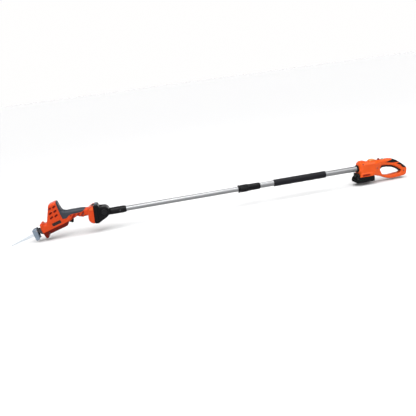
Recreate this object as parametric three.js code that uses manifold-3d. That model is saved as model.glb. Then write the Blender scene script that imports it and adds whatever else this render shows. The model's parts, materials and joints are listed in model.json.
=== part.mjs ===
// A cordless sabre saw docked on the pivoting head of a two-section telescopic pole, with a
// closed-loop handle and a slide-in battery at the rear. Millimetres, +Z up, X along the pole
// (blade at -X, handle at +X), Y across. The origin is under the middle of the object, level
// with its lowest point, the blade's tip.
import * as THREE from 'three';
import { mergeVertices } from 'three/addons/utils/BufferGeometryUtils.js';
import Module from 'manifold-3d';

const wasm = await Module();
wasm.setup();

// ---- driving dimensions -------------------------------------------------------------------

const LENGTH = 2078; // blade tip to the back of the handle, pole extended
const POLE_Z = 89; // height of the pole's axis
const GAP = 0.3; // between pieces that touch
const WALL = 2.8; // moulded shell walls
const ROUND = 24; // sides of a round section

// pole
const OUTER_R = 14.25; // outer tube
const OUTER_BORE = 12.85;
const OUTER_X = [118, 800];
const INNER_R = 12.5; // inner tube
const INNER_BORE = 11;
const INNER_X = [-534, 275];
const COLLAR_X = [102, 156]; // twist-lock collar
const COLLAR_R = 19.5;
const SLEEVE_X = [156.8, 218]; // fixed sleeve behind the collar
const SLEEVE_R = 17.5;
const FOAM_X = [291, 575]; // foam hand grip
const FOAM_R = 18.5;
const SOCKET_X = [-543, -467]; // socket that holds the inner tube
const SOCKET_R = 17.5;

// dock plane between saw and head: its frame leans back from the vertical
const DOCK_X = -620;
const DOCK_Z = POLE_Z + 8;
const DOCK_LEAN = 4.8;
const DOCK_W = 33; // half width
const DOCK_RAIL = [-40, 38]; // span of the tongue that the saw slides down over
const KNUCKLE = [47, 4]; // pivot axis, in the dock's frame
const KNUCKLE_R = 26;
const KNUCKLE_SIDES = 32;
const CHEEK_Y = [12.8, 27]; // fork cheeks either side of the pole's tongue
const BUTTON_R = 13.5; // pivot lock button
const RELEASE_Z = 38; // underside of the dock's release button
const RELEASE_TRAVEL = 3;

// saw: its frame lies along the barrel, origin where the barrel's axis meets the nose
const SAW_PITCH = 16.5;
const BLADE_TIP = [-175, -2];
const BARREL_W = 27; // half width
const BARREL_R = 26; // half height
const HANDLE_W = 19; // half width
const GRIP_SKIN = 2.3; // soft grip thickness
const GEAR_S = 71; // crank gear axis
const MOTOR_S = 98; // motor axis
const GEAR_TEETH = 45;
const PINION_TEETH = 9;
const MODULE = 1;
const STROKE = 15;
const ROD_R = 6; // plunger
const SHOE_PIVOT = [-27, 15];
const SHOE_W = 18; // half width

// rear handle: its frame starts at the front of the housing, level with the pole's axis
const HOUSING_X = 752;
const HOUSING_BACK = LENGTH / 2 - HOUSING_X;
const HOUSING_W = 30; // half width at the front
const LOOP_W = 18; // half width round the hand loop
const FOOT_W = 33; // half width of the battery foot
const FOOT_Z = -43.7; // underside of the foot
const RAIL = { neck: 19.5, head: 23.5, lip: 4.6, depth: 12 }; // battery tongue, half widths
const BATTERY_W = 35; // half width
const BATTERY_Z = -72.5; // underside of the battery
const CELL_R = 9;
const CELLS = 4;

// ---- helpers ------------------------------------------------------------------------------

const rad = THREE.MathUtils.degToRad;

// Points of an arc from one angle to another, in degrees, anticlockwise when rising.
function arc(x, z, r, from, to, steps = 5) {
  const points = [];
  for (let i = 0; i <= steps; i++) {
    const a = rad(from + ((to - from) * i) / steps);
    points.push([x + r * Math.cos(a), z + r * Math.sin(a)]);
  }
  return points;
}

// An anticlockwise outline moved inwards by d, or outwards if d is negative.
function inset(points, d) {
  const n = points.length;
  return points.map(([x, z], i) => {
    const a = points[(i + n - 1) % n];
    const b = points[(i + 1) % n];
    const u = new THREE.Vector2(x - a[0], z - a[1]).normalize();
    const v = new THREE.Vector2(b[0] - x, b[1] - z).normalize();
    const normal = new THREE.Vector2(-u.y - v.y, u.x + v.x).normalize();
    const k = d / Math.max(0.5, normal.dot(new THREE.Vector2(-v.y, v.x)));
    return [x + normal.x * k, z + normal.y * k];
  });
}

// A closed geometry as a solid with outward faces.
function solid(geometry) {
  geometry.deleteAttribute('normal');
  geometry.deleteAttribute('uv');
  const merged = mergeVertices(geometry, 1e-4);
  const p = merged.attributes.position;
  const index = Array.from(merged.index.array);
  const corners = [new THREE.Vector3(), new THREE.Vector3(), new THREE.Vector3()];
  let volume = 0;
  for (let i = 0; i < index.length; i += 3) {
    corners.forEach((c, k) => c.fromBufferAttribute(p, index[i + k]));
    volume += corners[0].dot(corners[1].cross(corners[2]));
  }
  if (volume < 0) index.reverse();
  return new wasm.Manifold(
    new wasm.Mesh({ numProp: 3, vertProperties: p.array, triVerts: Uint32Array.from(index) }),
  );
}

// Back from a solid to a geometry that can be drawn.
function drawn(body) {
  const mesh = body.getMesh();
  const geometry = new THREE.BufferGeometry();
  geometry.setAttribute('position', new THREE.BufferAttribute(mesh.vertProperties, 3));
  geometry.setIndex(new THREE.BufferAttribute(mesh.triVerts, 1));
  geometry.computeVertexNormals();
  return geometry;
}

// An outline in the XZ plane, given width from y0 to y1.
function prism(points, y0, y1) {
  const shape = new THREE.Shape(points.map(([x, z]) => new THREE.Vector2(x, z)));
  const geometry = new THREE.ExtrudeGeometry(shape, { depth: y1 - y0, bevelEnabled: false });
  return solid(geometry.rotateX(Math.PI / 2).translate(0, y1, 0));
}

// An outline in the XY plane, given height from z0 to z1.
function slab(points, z0, z1) {
  const shape = new THREE.Shape(points.map(([x, y]) => new THREE.Vector2(x, y)));
  const geometry = new THREE.ExtrudeGeometry(shape, { depth: z1 - z0, bevelEnabled: false });
  return solid(geometry.translate(0, 0, z0));
}

// Both sides of a half plan [x, half width], as one anticlockwise outline.
function plan(half) {
  const right = half.map(([x, y]) => [x, -y]);
  const left = half.map(([x, y]) => [x, y]).reverse();
  return [...right, ...left];
}

function box(x0, x1, y0, y1, z0, z1) {
  const geometry = new THREE.BoxGeometry(x1 - x0, y1 - y0, z1 - z0);
  return solid(geometry.translate((x0 + x1) / 2, (y0 + y1) / 2, (z0 + z1) / 2));
}

// A turned piece: profile [radius, distance along the axis], on the axis 'x', 'y' or 'z'.
function turned(profile, axis, at = [0, 0, 0], sides = ROUND) {
  const ring = profile.map(([r, t]) => new THREE.Vector2(r, t));
  if (profile[0][0] > 0) ring.push(ring[0].clone());
  const geometry = new THREE.LatheGeometry(ring, sides);
  if (axis === 'x') geometry.rotateZ(-Math.PI / 2);
  if (axis === 'z') geometry.rotateX(Math.PI / 2);
  return solid(geometry.translate(...at));
}

function rod(axis, r, from, to, at = [0, 0, 0], sides = ROUND) {
  return turned([[0, from], [r, from], [r, to], [0, to]], axis, at, sides);
}

function ring(axis, bore, r, from, to, at = [0, 0, 0], sides = ROUND) {
  return turned([[bore, from], [r, from], [r, to], [bore, to]], axis, at, sides);
}

const FAR = 3000;
const left = (body) => body.intersect(box(-FAR, FAR, -FAR, -GAP / 2, -FAR, FAR));
const right = (body) => body.intersect(box(-FAR, FAR, GAP / 2, FAR, -FAR, FAR));

const COLOURS = {
  orange: [0xee5a1a, 0.42, 0],
  rubber: [0x3a3f47, 0.85, 0],
  black: [0x1b1c1f, 0.5, 0],
  foam: [0x2a2b32, 0.95, 0],
  aluminium: [0xc9ccce, 0.3, 1],
  steel: [0x9aa1a6, 0.35, 1],
  shoe: [0x7d8c98, 0.45, 1],
  copper: [0xa86a3c, 0.4, 1],
  nylon: [0xe8e4d8, 0.5, 0],
  red: [0x8e1410, 0.45, 0],
  lens: [0x7f9a86, 0.2, 0],
  wrap: [0x3f7f5f, 0.55, 0],
};

function part(group, name, colour, body) {
  const [color, roughness, metalness] = COLOURS[colour];
  const material = new THREE.MeshStandardMaterial({ color, roughness, metalness });
  const mesh = new THREE.Mesh(drawn(body), material);
  mesh.name = name;
  group.add(mesh);
}

// ---- groups: each frame is a group, so its pieces are drawn in plain coordinates ------------

const object = new THREE.Group();
const pole = new THREE.Group();
const rear = new THREE.Group();
const head = new THREE.Group();
const saw = new THREE.Group();
object.add(pole, rear, head, saw);

pole.position.set(0, 0, POLE_Z);
rear.position.set(HOUSING_X, 0, POLE_Z);
head.position.set(DOCK_X, 0, DOCK_Z);
head.rotation.y = rad(DOCK_LEAN);
const sawTurn = rad(SAW_PITCH);
saw.rotation.y = -sawTurn;
saw.position.set(
  -LENGTH / 2 - BLADE_TIP[0] * Math.cos(sawTurn) + BLADE_TIP[1] * Math.sin(sawTurn),
  0,
  -BLADE_TIP[0] * Math.sin(sawTurn) - BLADE_TIP[1] * Math.cos(sawTurn),
);
object.updateMatrixWorld(true);

// A place in the dock's frame, as [x, z] in another group's frame.
function fromDock(group, [x, z]) {
  const p = group.worldToLocal(head.localToWorld(new THREE.Vector3(x, 0, z)));
  return [p.x, p.z];
}

// ---- pole -----------------------------------------------------------------------------------

part(pole, 'outer_tube', 'aluminium', ring('x', OUTER_BORE, OUTER_R, ...OUTER_X));
part(pole, 'inner_tube', 'aluminium', innerTube());
part(pole, 'tube_end_bush', 'black', tubeEndBush());
part(pole, 'lock_collet', 'nylon', lockCollet());
part(pole, 'lock_collar', 'black', lockCollar());
part(pole, 'lock_sleeve', 'black', lockSleeve());
part(pole, 'foam_grip', 'foam', foamGrip());
part(pole, 'pole_socket', 'black', poleSocket());
part(pole, 'socket_screw', 'steel', socketScrew(GAP));
part(pole, 'pole_cable', 'black', poleCable());
part(pole, 'coil_cable', 'black', ring('x', 4.5, 8.5, -520, -150, [0, 0, 0], 12));

function innerTube() {
  return ring('x', INNER_BORE, INNER_R, ...INNER_X).subtract(socketScrew(0));
}

// Glide bush pushed into the inner tube's rear end: the cable runs through it.
function tubeEndBush() {
  const end = INNER_X[1];
  const profile = [[7, end - 25], [INNER_BORE - GAP, end - 25], [INNER_BORE - GAP, end + GAP],
    [INNER_R, end + GAP], [INNER_R, end + 4], [7, end + 4]];
  return turned(profile, 'x');
}

// Split ring that the collar squeezes onto the inner tube.
function lockCollet() {
  const [from] = COLLAR_X;
  const slit = box(from, from + 20, -1.5, 1.5, 0, 20);
  return ring('x', INNER_R + GAP, 15.2, from + 4, OUTER_X[0] - GAP).subtract(slit);
}

// Ribbed twist collar: a flared front lip, then a barrel over the outer tube.
function lockCollar() {
  const [from, to] = COLLAR_X;
  const r = COLLAR_R;
  const seat = OUTER_X[0];
  const profile = [[INNER_R + 0.5, from], [r, from], [r + 0.5, from + 3], [r - 0.8, from + 8],
    [r, to - 6], [r - 0.5, to], [OUTER_R + 0.5, to], [OUTER_R + 0.5, seat], [15.6, seat],
    [15.6, from + 3.5], [INNER_R + 0.5, from + 3.5]];
  return turned(profile, 'x');
}

function lockSleeve() {
  const [from, to] = SLEEVE_X;
  const r = SLEEVE_R;
  const bore = OUTER_R + GAP;
  const profile = [[bore, from], [r + 0.8, from], [r + 0.8, from + 4], [r, from + 6], [r, to - 7],
    [r - 1, to - 2], [r - 2.5, to], [bore, to]];
  return turned(profile, 'x');
}

function foamGrip() {
  const [from, to] = FOAM_X;
  const r = FOAM_R;
  const bore = OUTER_R + GAP;
  const profile = [[bore, from], [r - 1.5, from], [r, from + 2.5], [r - 0.6, to - 2.5], [r - 2, to],
    [bore, to]];
  return turned(profile, 'x');
}

// Socket round the inner tube, with the tongue that pivots between the head's cheeks.
function poleSocket() {
  const [from, to] = SOCKET_X;
  const r = SOCKET_R;
  const bore = INNER_R + GAP;
  const profile = [[0, from], [r, from], [r - 0.8, to - 4], [r - 2.5, to], [bore, to],
    [bore, INNER_X[0] - GAP], [0, INNER_X[0] - GAP]];
  const [kx, kz] = fromDock(pole, KNUCKLE);
  const half = CHEEK_Y[0] - 0.5;
  const disc = rod('y', KNUCKLE_R, -half, half, [kx, 0, kz], KNUCKLE_SIDES);
  const arm = box(kx, from + 1, -half, half, -14, 16);
  return turned(profile, 'x')
    .add(disc)
    .add(arm)
    .subtract(rod('y', 5.3, -30, 30, [kx, 0, kz]))
    .subtract(socketScrew(0));
}

// Cross screw through socket and tube; the hole it sits in is made with the same call.
function socketScrew(clearance) {
  const shank = 2.3 - clearance;
  const top = 4 - clearance;
  const profile = [[0, -SOCKET_R - 1], [top, -SOCKET_R - 1], [top, -15.5 - clearance],
    [shank, -15.5 - clearance], [shank, -9.5], [0, -9.5]];
  return turned(profile, 'y', [SOCKET_X[1] - 30, 0, 0], 12);
}

// Straight lead from the handle switch down the tubes, then the coiled part's core.
function poleCable() {
  const points = [[60, 0, 0], [806, 0, 0], [840, 4, 3], [876, 11, 9], [906, 11.2, 17]];
  const route = points.map((p) => new THREE.Vector3(...p));
  const path = new THREE.CatmullRomCurve3(route, false, 'centripetal');
  const section = new THREE.Shape(arc(0, 0, 3, 0, 315, 7).map(([u, v]) => new THREE.Vector2(u, v)));
  const options = { steps: 30, extrudePath: path, bevelEnabled: false };
  return solid(new THREE.ExtrudeGeometry(section, options));
}

// ---- rear handle ------------------------------------------------------------------------------

const HOUSING = [
  [0, -18], [8, -22], [0, FOOT_Z], [87, FOOT_Z], [105, -51], [127, -58], [154, -71], [179, -79],
  [204, -81], [240, -79], ...arc(268, -60, 15, 285, 350, 3), [HOUSING_BACK, -44],
  [284, -34], [252, -8], [224, 13], [200, 25], [180, 30.5],
  [108, 32.5], [101, 37], [94, 39.5], [80, 39.5], [73, 36.5], [66, 32.5], [45, 33], [39, 38],
  [16, 38.5], [10, 35], [4, 31], [0, 25],
];
const LOOP = [
  [128, -21], [140, -46], [150, -54], [179, -60], [230, -56], ...arc(236, -46, 11, 300, 380, 3),
  [225, -25], [195, -9.5], [160, -3], [135, -1], [130, -8],
];
const HOUSING_PLAN = plan([
  [0, 24], [14, HOUSING_W], [92, HOUSING_W], [126, 21], [150, LOOP_W], [262, LOOP_W], [280, 13],
  [HOUSING_BACK, 7],
]);
const FOOT = [[8, -24], [0, FOOT_Z], [87, FOOT_Z], [87, -30], [80, -24]];
const REAR_TRIGGER = [[136, -8], [165, -11.5], [188, -16.5], [199, -14.5], [197, -3], [136, 2]];
const TRIGGER_SLOT = 8; // half width
const LINER_W = 15; // half width
const LOCKOFF = { x: [120.5, 129.5], w: 5, z: [19, 38] };
const LENS = { x: [141, 153], w: 4.5, z: [27.5, 34] };
const REAR_SCREWS = [[24, 24], [104, -8], [262, -48]];

function rearEnvelope(d) {
  const body = prism(inset(HOUSING, d), -60, 60).intersect(slab(inset(HOUSING_PLAN, d), -120, 80));
  return body.subtract(prism(inset(LOOP, -d), -60, 60));
}

// The channel that the battery's tongue slides into, open at the front.
function batteryChannel() {
  const neck = box(-20, 84, -RAIL.neck - 0.5, RAIL.neck + 0.5, FOOT_Z - 1, FOOT_Z + RAIL.lip + 1);
  const wide = RAIL.head + 0.5;
  return neck.add(box(-20, 84, -wide, wide, FOOT_Z + RAIL.lip, FOOT_Z + RAIL.depth + 0.5));
}

function rearHousing() {
  const footBlock = box(-10, 90, -60, 60, -60, FOOT_Z + RAIL.depth + 3);
  const cavity = rearEnvelope(WALL).subtract(footBlock);
  const { x, w, z } = LOCKOFF;
  return rearEnvelope(0)
    .add(prism(FOOT, -FOOT_W, FOOT_W))
    .subtract(cavity)
    .subtract(batteryChannel())
    .subtract(rod('x', OUTER_R + GAP, -10, 52))
    .subtract(box(132, 203, -TRIGGER_SLOT, TRIGGER_SLOT, -20, 14))
    .subtract(box(x[0] - 0.5, x[1] + 0.5, -w - 0.5, w + 0.5, 20, 50))
    .subtract(box(LENS.x[0] - GAP, LENS.x[1] + GAP, -LENS.w - GAP, LENS.w + GAP, 20, 50))
    .subtract(box(20 - GAP, 62 + GAP, -14 - GAP, 14 + GAP, -32, -20));
}

// Screw with its head in a pocket on the left; with clearance 0 it is the hole for it.
function caseScrew([x, z], face, clearance) {
  const r = 2 - clearance;
  const top = 3.6 - clearance;
  const seat = -face + 5 - clearance;
  const end = 12 - clearance;
  const profile = [[0, -face + 1.5], [top, -face + 1.5], [top, seat], [r, seat], [r, end], [0, end]];
  return turned(profile, 'y', [x, 0, z], 12);
}

// The pocket in front of a screw's head, out to the face of the shell.
const screwPocket = ([x, z], face) => rod('y', 3.6, -face - 1, -face + 2, [x, 0, z], 12);

// Shell halves with a boss round each screw. Faces: how far out the shell is at each screw.
function withScrews(shell, envelope, places, faces) {
  let body = shell;
  places.forEach(([x, z], i) => {
    const boss = rod('y', 5.5, -faces[i] + 1, faces[i] - 1, [x, 0, z], 12);
    body = body.add(boss.intersect(envelope));
  });
  places.forEach((place, i) => {
    body = body.subtract(caseScrew(place, faces[i], 0)).subtract(screwPocket(place, faces[i]));
  });
  return body;
}

const REAR_FACES = [HOUSING_W, 26.5, LOOP_W];
const rearShell = withScrews(rearHousing(), rearEnvelope(1), REAR_SCREWS, REAR_FACES);
part(rear, 'rear_housing_left', 'orange', left(rearShell));
part(rear, 'rear_housing_right', 'orange', right(rearShell));
REAR_SCREWS.forEach((place, i) => {
  part(rear, `rear_screw_${i + 1}`, 'steel', caseScrew(place, REAR_FACES[i], GAP));
});
part(rear, 'nose_ring', 'black', noseRing());
part(rear, 'rear_grip_pad', 'rubber', rearGripPad());
part(rear, 'loop_liner', 'rubber', loopLiner());
part(rear, 'rear_trigger', 'black', rearTrigger());
part(rear, 'lockoff_button', 'red', lockoffButton());
part(rear, 'indicator_lens', 'lens', indicatorLens());
part(rear, 'rear_switch', 'black', rearSwitch());
part(rear, 'terminal_block', 'nylon', box(20, 62, -14, 14, FOOT_Z + RAIL.depth + 1, -20 - GAP));

// Switch body with its plunger reaching down towards the trigger.
function rearSwitch() {
  return box(150, 172, -7.5, 7.5, 14, 25).add(box(154, 158, -3, 3, 12, 15));
}

// Dark flanged ring where the tube enters the housing.
function noseRing() {
  const bore = OUTER_R + GAP;
  return turned([[bore, -6], [16.5, -6], [18.8, -4], [18.8, -GAP], [bore, -GAP]], 'x');
}

// Soft pad laid over the back of the loop, following the housing's outline.
function rearGripPad() {
  const under = [[284.3, -33.8], [252.2, -7.7], [224.2, 13.4], [200.2, 25.4], [182, 30.6]];
  const over = under.map(([x, z]) => [x + 1.1, z + 1.6]).reverse();
  const band = [[286.6, -40], ...under, ...over, [HOUSING_BACK, -37.5]];
  return prism(band.reverse(), -13, 13)
    .intersect(slab(inset(HOUSING_PLAN, 1), -100, 60))
    .subtract(rearEnvelope(-GAP));
}

// Soft strip along the top of the loop's opening, slotted for the trigger.
function loopLiner() {
  const under = [[130, -15], [137, -9.5], [160, -9.5], [193, -16], [222, -31.5], [238, -42], [239, -46]];
  const over = [[255, -46], [230, -10], [165, 5], [125, 5], [120, -15]];
  return prism([...under, ...over], -LINER_W, LINER_W)
    .intersect(prism(inset(LOOP, GAP), -20, 20))
    .subtract(box(131, 204, -TRIGGER_SLOT, TRIGGER_SLOT, -40, 10));
}

function rearTrigger() {
  return prism(REAR_TRIGGER, -7, 7).subtract(rod('y', 2.3, -10, 10, [192, 0, -8], 16));
}

function lockoffButton() {
  const { x, w, z } = LOCKOFF;
  const top = [[x[1], z[1] - 2], [x[1] - 2, z[1]], [x[0] + 2, z[1]], [x[0], z[1] - 2]];
  return prism([[x[0], z[0]], [x[1], z[0]], ...top], -w, w);
}

function indicatorLens() {
  const { x, w, z } = LENS;
  return prism([[x[0], z[0]], [x[1], z[0]], [x[1] - 1, z[1] - 0.5], [x[0] + 2, z[1]]], -w, w);
}

// ---- battery ----------------------------------------------------------------------------------

const BATTERY_SPLIT = -58;
const BATTERY_TOP = FOOT_Z - GAP;
const LATCH = [[-14.8, -41], [-8, -41], [-8, -30], [-11.8, -30]]; // in the hood's sloping front
const HOOD_W = 26; // half width
const BATTERY_PLAN = plan([[-16, 19], [-3, BATTERY_W], [90, BATTERY_W]]);
part(rear, 'battery_case', 'black', batteryCase());
part(rear, 'battery_lid', 'black', batteryLid());
part(rear, 'battery_latch', 'rubber', prism(LATCH, -12, 12));
for (let i = 0; i < CELLS; i++) {
  const at = [11.5 + 19.5 * i, 0, -61];
  part(rear, `battery_cell_${i + 1}`, 'wrap', rod('y', CELL_R, -32.5, 32.5, at, 20));
}

function batteryCase() {
  const side = [[-5, BATTERY_Z], [83, BATTERY_Z], [85, BATTERY_Z + 2], [85, BATTERY_SPLIT],
    [-15, BATTERY_SPLIT], [-14, BATTERY_Z + 7]];
  const hollow = box(0.5, 83, -33, 33, BATTERY_Z + 2, -40);
  return prism(side, -BATTERY_W, BATTERY_W).intersect(slab(BATTERY_PLAN, -100, 0)).subtract(hollow);
}

// Lid with the hood in front and the T-shaped tongue on top.
function batteryLid() {
  const low = BATTERY_SPLIT + GAP;
  const side = [[-15, low], [85, low], [85, BATTERY_TOP], [-1, BATTERY_TOP], [-1, -20.5], [-5, -19.5],
    [-8, -22], [-15, -46]];
  const shell = prism(side, -BATTERY_W, BATTERY_W).intersect(slab(BATTERY_PLAN, -100, 0));
  const shoulder = box(-20, 0, -HOOD_W, HOOD_W, BATTERY_TOP, 0);
  const neck = box(4, 80, -RAIL.neck, RAIL.neck, BATTERY_TOP - 1, FOOT_Z + RAIL.lip + 1);
  const tongue = box(4, 80, -RAIL.head, RAIL.head, FOOT_Z + RAIL.lip + 0.5, FOOT_Z + RAIL.depth);
  return shell
    .subtract(box(-20, 0, -BATTERY_W, BATTERY_W, BATTERY_TOP, 0).subtract(shoulder))
    .add(neck)
    .add(tongue)
    .subtract(box(0.5, 83, -33, 33, low - 1, BATTERY_TOP - 2))
    .subtract(box(-20, -5.5, -12.5, 12.5, -42, -29));
}

// ---- pivoting head ----------------------------------------------------------------------------

const HEAD = [
  [GAP, -49], [16, -49], [66, -15], ...arc(...KNUCKLE, KNUCKLE_R, -40, 90, 10), [26, 30],
  [22.5, 32], [20.5, 38], [16, 42], [GAP, 42],
];
const HEAD_PLAN = plan([[-20, DOCK_W], [10, DOCK_W], [24, CHEEK_Y[1]], [80, CHEEK_Y[1]]]);
const HEAD_HOLLOW = [[4, -45], [13, -45], [17, -41], [17, 30], [14, 37], [4, 37]];

const headShell = headBody();
part(head, 'adapter_left', 'black', left(headShell));
part(head, 'adapter_right', 'black', right(headShell));
part(head, 'pivot_bolt', 'steel', pivotBolt());
part(head, 'pivot_button', 'rubber', pivotButton());
part(head, 'dock_release', 'steel', dockRelease());

function headBody() {
  const [kx, kz] = KNUCKLE;
  const half = CHEEK_Y[0];
  const disc = rod('y', KNUCKLE_R + 1, -half, half, [kx, 0, kz], KNUCKLE_SIDES);
  const behind = box(kx, 90, -half, half, -70, 40);
  const above = box(24, 90, -half, half, 10, 80);
  const below = box(30, 90, -half, half, -80, -10);
  const hollow = prism(HEAD_HOLLOW, -DOCK_W + 4, DOCK_W - 4);
  const neck = box(-RAIL.depth, 1, -RAIL.neck, RAIL.neck, ...DOCK_RAIL);
  const tongue = box(-RAIL.depth, -RAIL.lip - 0.3, -RAIL.head, RAIL.head, ...DOCK_RAIL);
  return prism(HEAD, -DOCK_W, DOCK_W)
    .intersect(slab(HEAD_PLAN, -100, 100))
    .subtract(disc.add(behind).add(above).add(below))
    .subtract(hollow)
    .add(neck)
    .add(tongue)
    .subtract(box(2.5, 13.5, -11.5, 11.5, RELEASE_Z - RELEASE_TRAVEL - 1, 60))
    .subtract(rod('y', 5.3, -40, 40, [kx, 0, kz]))
    .subtract(rod('y', BUTTON_R + GAP, -40, -17, [kx, 0, kz]))
    .subtract(rod('y', 9.6, 20.5, 40, [kx, 0, kz]));
}

function dockRelease() {
  return prism([[3, RELEASE_Z], [13, RELEASE_Z], [13, RELEASE_Z + 5.5], [3, RELEASE_Z + 6.5]], -11, 11);
}

function pivotBolt() {
  const [kx, kz] = KNUCKLE;
  const profile = [[0, -16.7], [5, -16.7], [5, 20.8], [9.2, 20.8], [9.2, 25], [8, 26], [0, 26]];
  return turned(profile, 'y', [kx, 0, kz]);
}

function pivotButton() {
  const [kx, kz] = KNUCKLE;
  const r = BUTTON_R;
  return turned([[0, -30], [r - 3, -29.7], [r, -28], [r, -22], [0, -22]], 'y', [kx, 0, kz]);
}

// ---- saw --------------------------------------------------------------------------------------

const BODY = [
  [-4.5, 4], [-6.2, -20], ...arc(3, -31, 8.5, 190, 350, 5), [14, -BARREL_R], [112, -BARREL_R],
  [122, -19], [126, -12], [165, -8], [174, -7], [181, -12], [188, -18], [200, -23], [243, -30],
  [258, 4], [238, 8.5], [224, 14], [205, 22.5], [164, 34.5], [138, 41.5], [128, 46], [123, 57],
  [122.5, 76], [123.5, 90], ...arc(116, 93.5, 8, 10, 80, 3), ...arc(88, 98, 8, 95, 145, 3),
  [33, BARREL_R + 1], [16, 29], ...arc(8, 30, 8, 20, 170, 5), [-2.5, 24],
];
const BODY_PLAN = plan([
  [-10, 30], [11, 30], [16, BARREL_W], [110, BARREL_W], [128, HANDLE_W], [280, HANDLE_W],
]);
const GRIP = [
  [110.5, 15], [127, 8.5], [140, 15], [154, 17], [181, 10.5], [202, 5.5], [217, 8], [228, 14],
  [236, 28], [209, 45], [150, 62], [140, 112], [121, 112], [119.5, 96], [115, 68], [111.5, 40],
];
const BASE = [
  [0, 41], [-8, 39], [-21, 32], [-29, 24], [-30, -26], [-26, -37], [-17, -45], [-8, -48.5],
  [0, -49],
];
const SAW_TRIGGER = [
  [127, -6], [127.5, -15], [131, -19.5], [139, -25.5], [144, -24.5], [150, -15], [153, -6],
];
const SAW_SCREWS = [[24, -19], [205, -8]];
const SAW_FACES = [BARREL_W, HANDLE_W];
const VENT = { rows: 3, pitch: [7, 22], first: [62, 34], length: 15.5, height: 5.5, spacing: 22 };

function sawEnvelope(d) {
  return prism(inset(BODY, d), -60, 60).intersect(slab(inset(BODY_PLAN, d), -100, 150));
}

// Turns a solid drawn in the dock's frame into the saw's frame.
function dockToSaw(body) {
  const matrix = saw.matrixWorld.clone().invert().multiply(head.matrixWorld);
  return solid(drawn(body).applyMatrix4(matrix));
}

// Battery-style foot at the back of the handle, with a channel for the head's tongue.
function sawBase(d) {
  const shape = prism(inset(BASE, d), -DOCK_W + d, DOCK_W - d);
  return d ? shape.intersect(box(-60, -RAIL.depth - 3, -60, 60, -80, 80)) : shape;
}

function dockChannel() {
  const low = DOCK_RAIL[0] - 3;
  const neck = box(-RAIL.lip - 1, 5, -RAIL.neck - 0.5, RAIL.neck + 0.5, low, 80);
  const slot = box(-RAIL.depth - 0.5, -RAIL.lip + 0.2, -RAIL.head - 0.5, RAIL.head + 0.5, low, 80);
  return dockToSaw(neck.add(slot));
}

function ventSlots() {
  let slots = null;
  for (let row = 0; row < VENT.rows; row++) {
    for (let k = 0; k < 2; k++) {
      const s = VENT.first[0] + VENT.pitch[0] * row + VENT.spacing * k;
      const h = VENT.first[1] + VENT.pitch[1] * row;
      const slot = box(s, s + VENT.length, -40, 40, h, h + VENT.height);
      slots = slots ? slots.add(slot) : slot;
    }
  }
  return slots;
}

function sawBody() {
  const gripRoom = prism(inset(GRIP, -GAP), -60, 60);
  const underGrip = prism(inset(GRIP, -3), -60, 60);
  const skin = GRIP_SKIN + GAP;
  const outside = sawEnvelope(0)
    .subtract(gripRoom)
    .add(sawEnvelope(skin))
    .add(dockToSaw(sawBase(0)));
  const cavity = sawEnvelope(WALL)
    .subtract(underGrip)
    .add(sawEnvelope(skin + WALL))
    .subtract(box(238, 300, -60, 60, -100, 60));
  return outside
    .subtract(cavity)
    .subtract(dockToSaw(sawBase(WALL)))
    .subtract(dockChannel())
    .subtract(ventSlots())
    .subtract(rod('x', 12, -20, 8))
    .subtract(box(124.5, 157, -8, 8, -40, 1));
}

function sawGrip() {
  return sawEnvelope(0).intersect(prism(GRIP, -60, 60)).subtract(sawEnvelope(GRIP_SKIN));
}

const sawShell = withScrews(sawBody(), sawEnvelope(1), SAW_SCREWS, SAW_FACES);
part(saw, 'saw_shell_left', 'orange', left(sawShell));
part(saw, 'saw_shell_right', 'orange', right(sawShell));
SAW_SCREWS.forEach((place, i) => {
  part(saw, `saw_screw_${i + 1}`, 'steel', caseScrew(place, SAW_FACES[i], GAP));
});
part(saw, 'saw_grip', 'rubber', sawGrip());
part(saw, 'saw_trigger', 'black', prism(SAW_TRIGGER, -7, 7));
part(saw, 'saw_switch', 'black', box(132, 152, -7, 7, 3, 17));
part(saw, 'saw_contact_block', 'nylon', dockToSaw(box(-26, -17, -14, 14, -6, 18)));

// ---- saw drive: motor, gear, crank and plunger --------------------------------------------------

// Spur gear with straight-flanked teeth, thinner than their gaps so that they run free.
function gearOutline(teeth, phase) {
  const pitch = (MODULE * teeth) / 2;
  const step = 360 / teeth;
  const points = [];
  const corner = (r, share, i) => {
    const a = rad((i + share) * step + phase);
    points.push([r * Math.cos(a), r * Math.sin(a)]);
  };
  for (let i = 0; i < teeth; i++) {
    corner(pitch - 1.1 * MODULE, -0.27, i);
    corner(pitch + 0.75 * MODULE, -0.11, i);
    corner(pitch + 0.75 * MODULE, 0.11, i);
    corner(pitch - 1.1 * MODULE, 0.27, i);
  }
  return points;
}

function motorCan() {
  const outer = [[3.4, 22], [17.5, 22], [17.5, 78], [3.4, 78]];
  const inner = [[3.4, 76], [15.5, 76], [15.5, 24], [3.4, 24]];
  return turned([...outer, ...inner], 'z', [MOTOR_S, 0, 0]);
}

function motorArmature() {
  const core = [[2.5, 30], [13, 30], [13, 66]];
  const commutator = [[6, 66], [6, 73], [2.5, 73]];
  return turned([[0, 9], [2.5, 9], ...core, ...commutator, [2.5, 90], [0, 90]], 'z', [MOTOR_S, 0, 0]);
}

function motorPinion() {
  const body = slab(gearOutline(PINION_TEETH, 180), 9.5, 17).subtract(rod('z', 2.8, 0, 30));
  return solid(drawn(body).translate(MOTOR_S, 0, 0));
}

function coolingFan() {
  const blades = 7;
  const step = 360 / blades;
  const outline = [];
  for (let i = 0; i < blades; i++) {
    outline.push(...arc(0, 0, 14, i * step, i * step + 10, 1));
    outline.push(...arc(0, 0, 5, i * step + 16, (i + 1) * step - 4, 2));
  }
  const wheel = slab(outline, 81, 88).subtract(rod('z', 2.8, 70, 95));
  return solid(drawn(wheel).translate(MOTOR_S, 0, 0));
}

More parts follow.
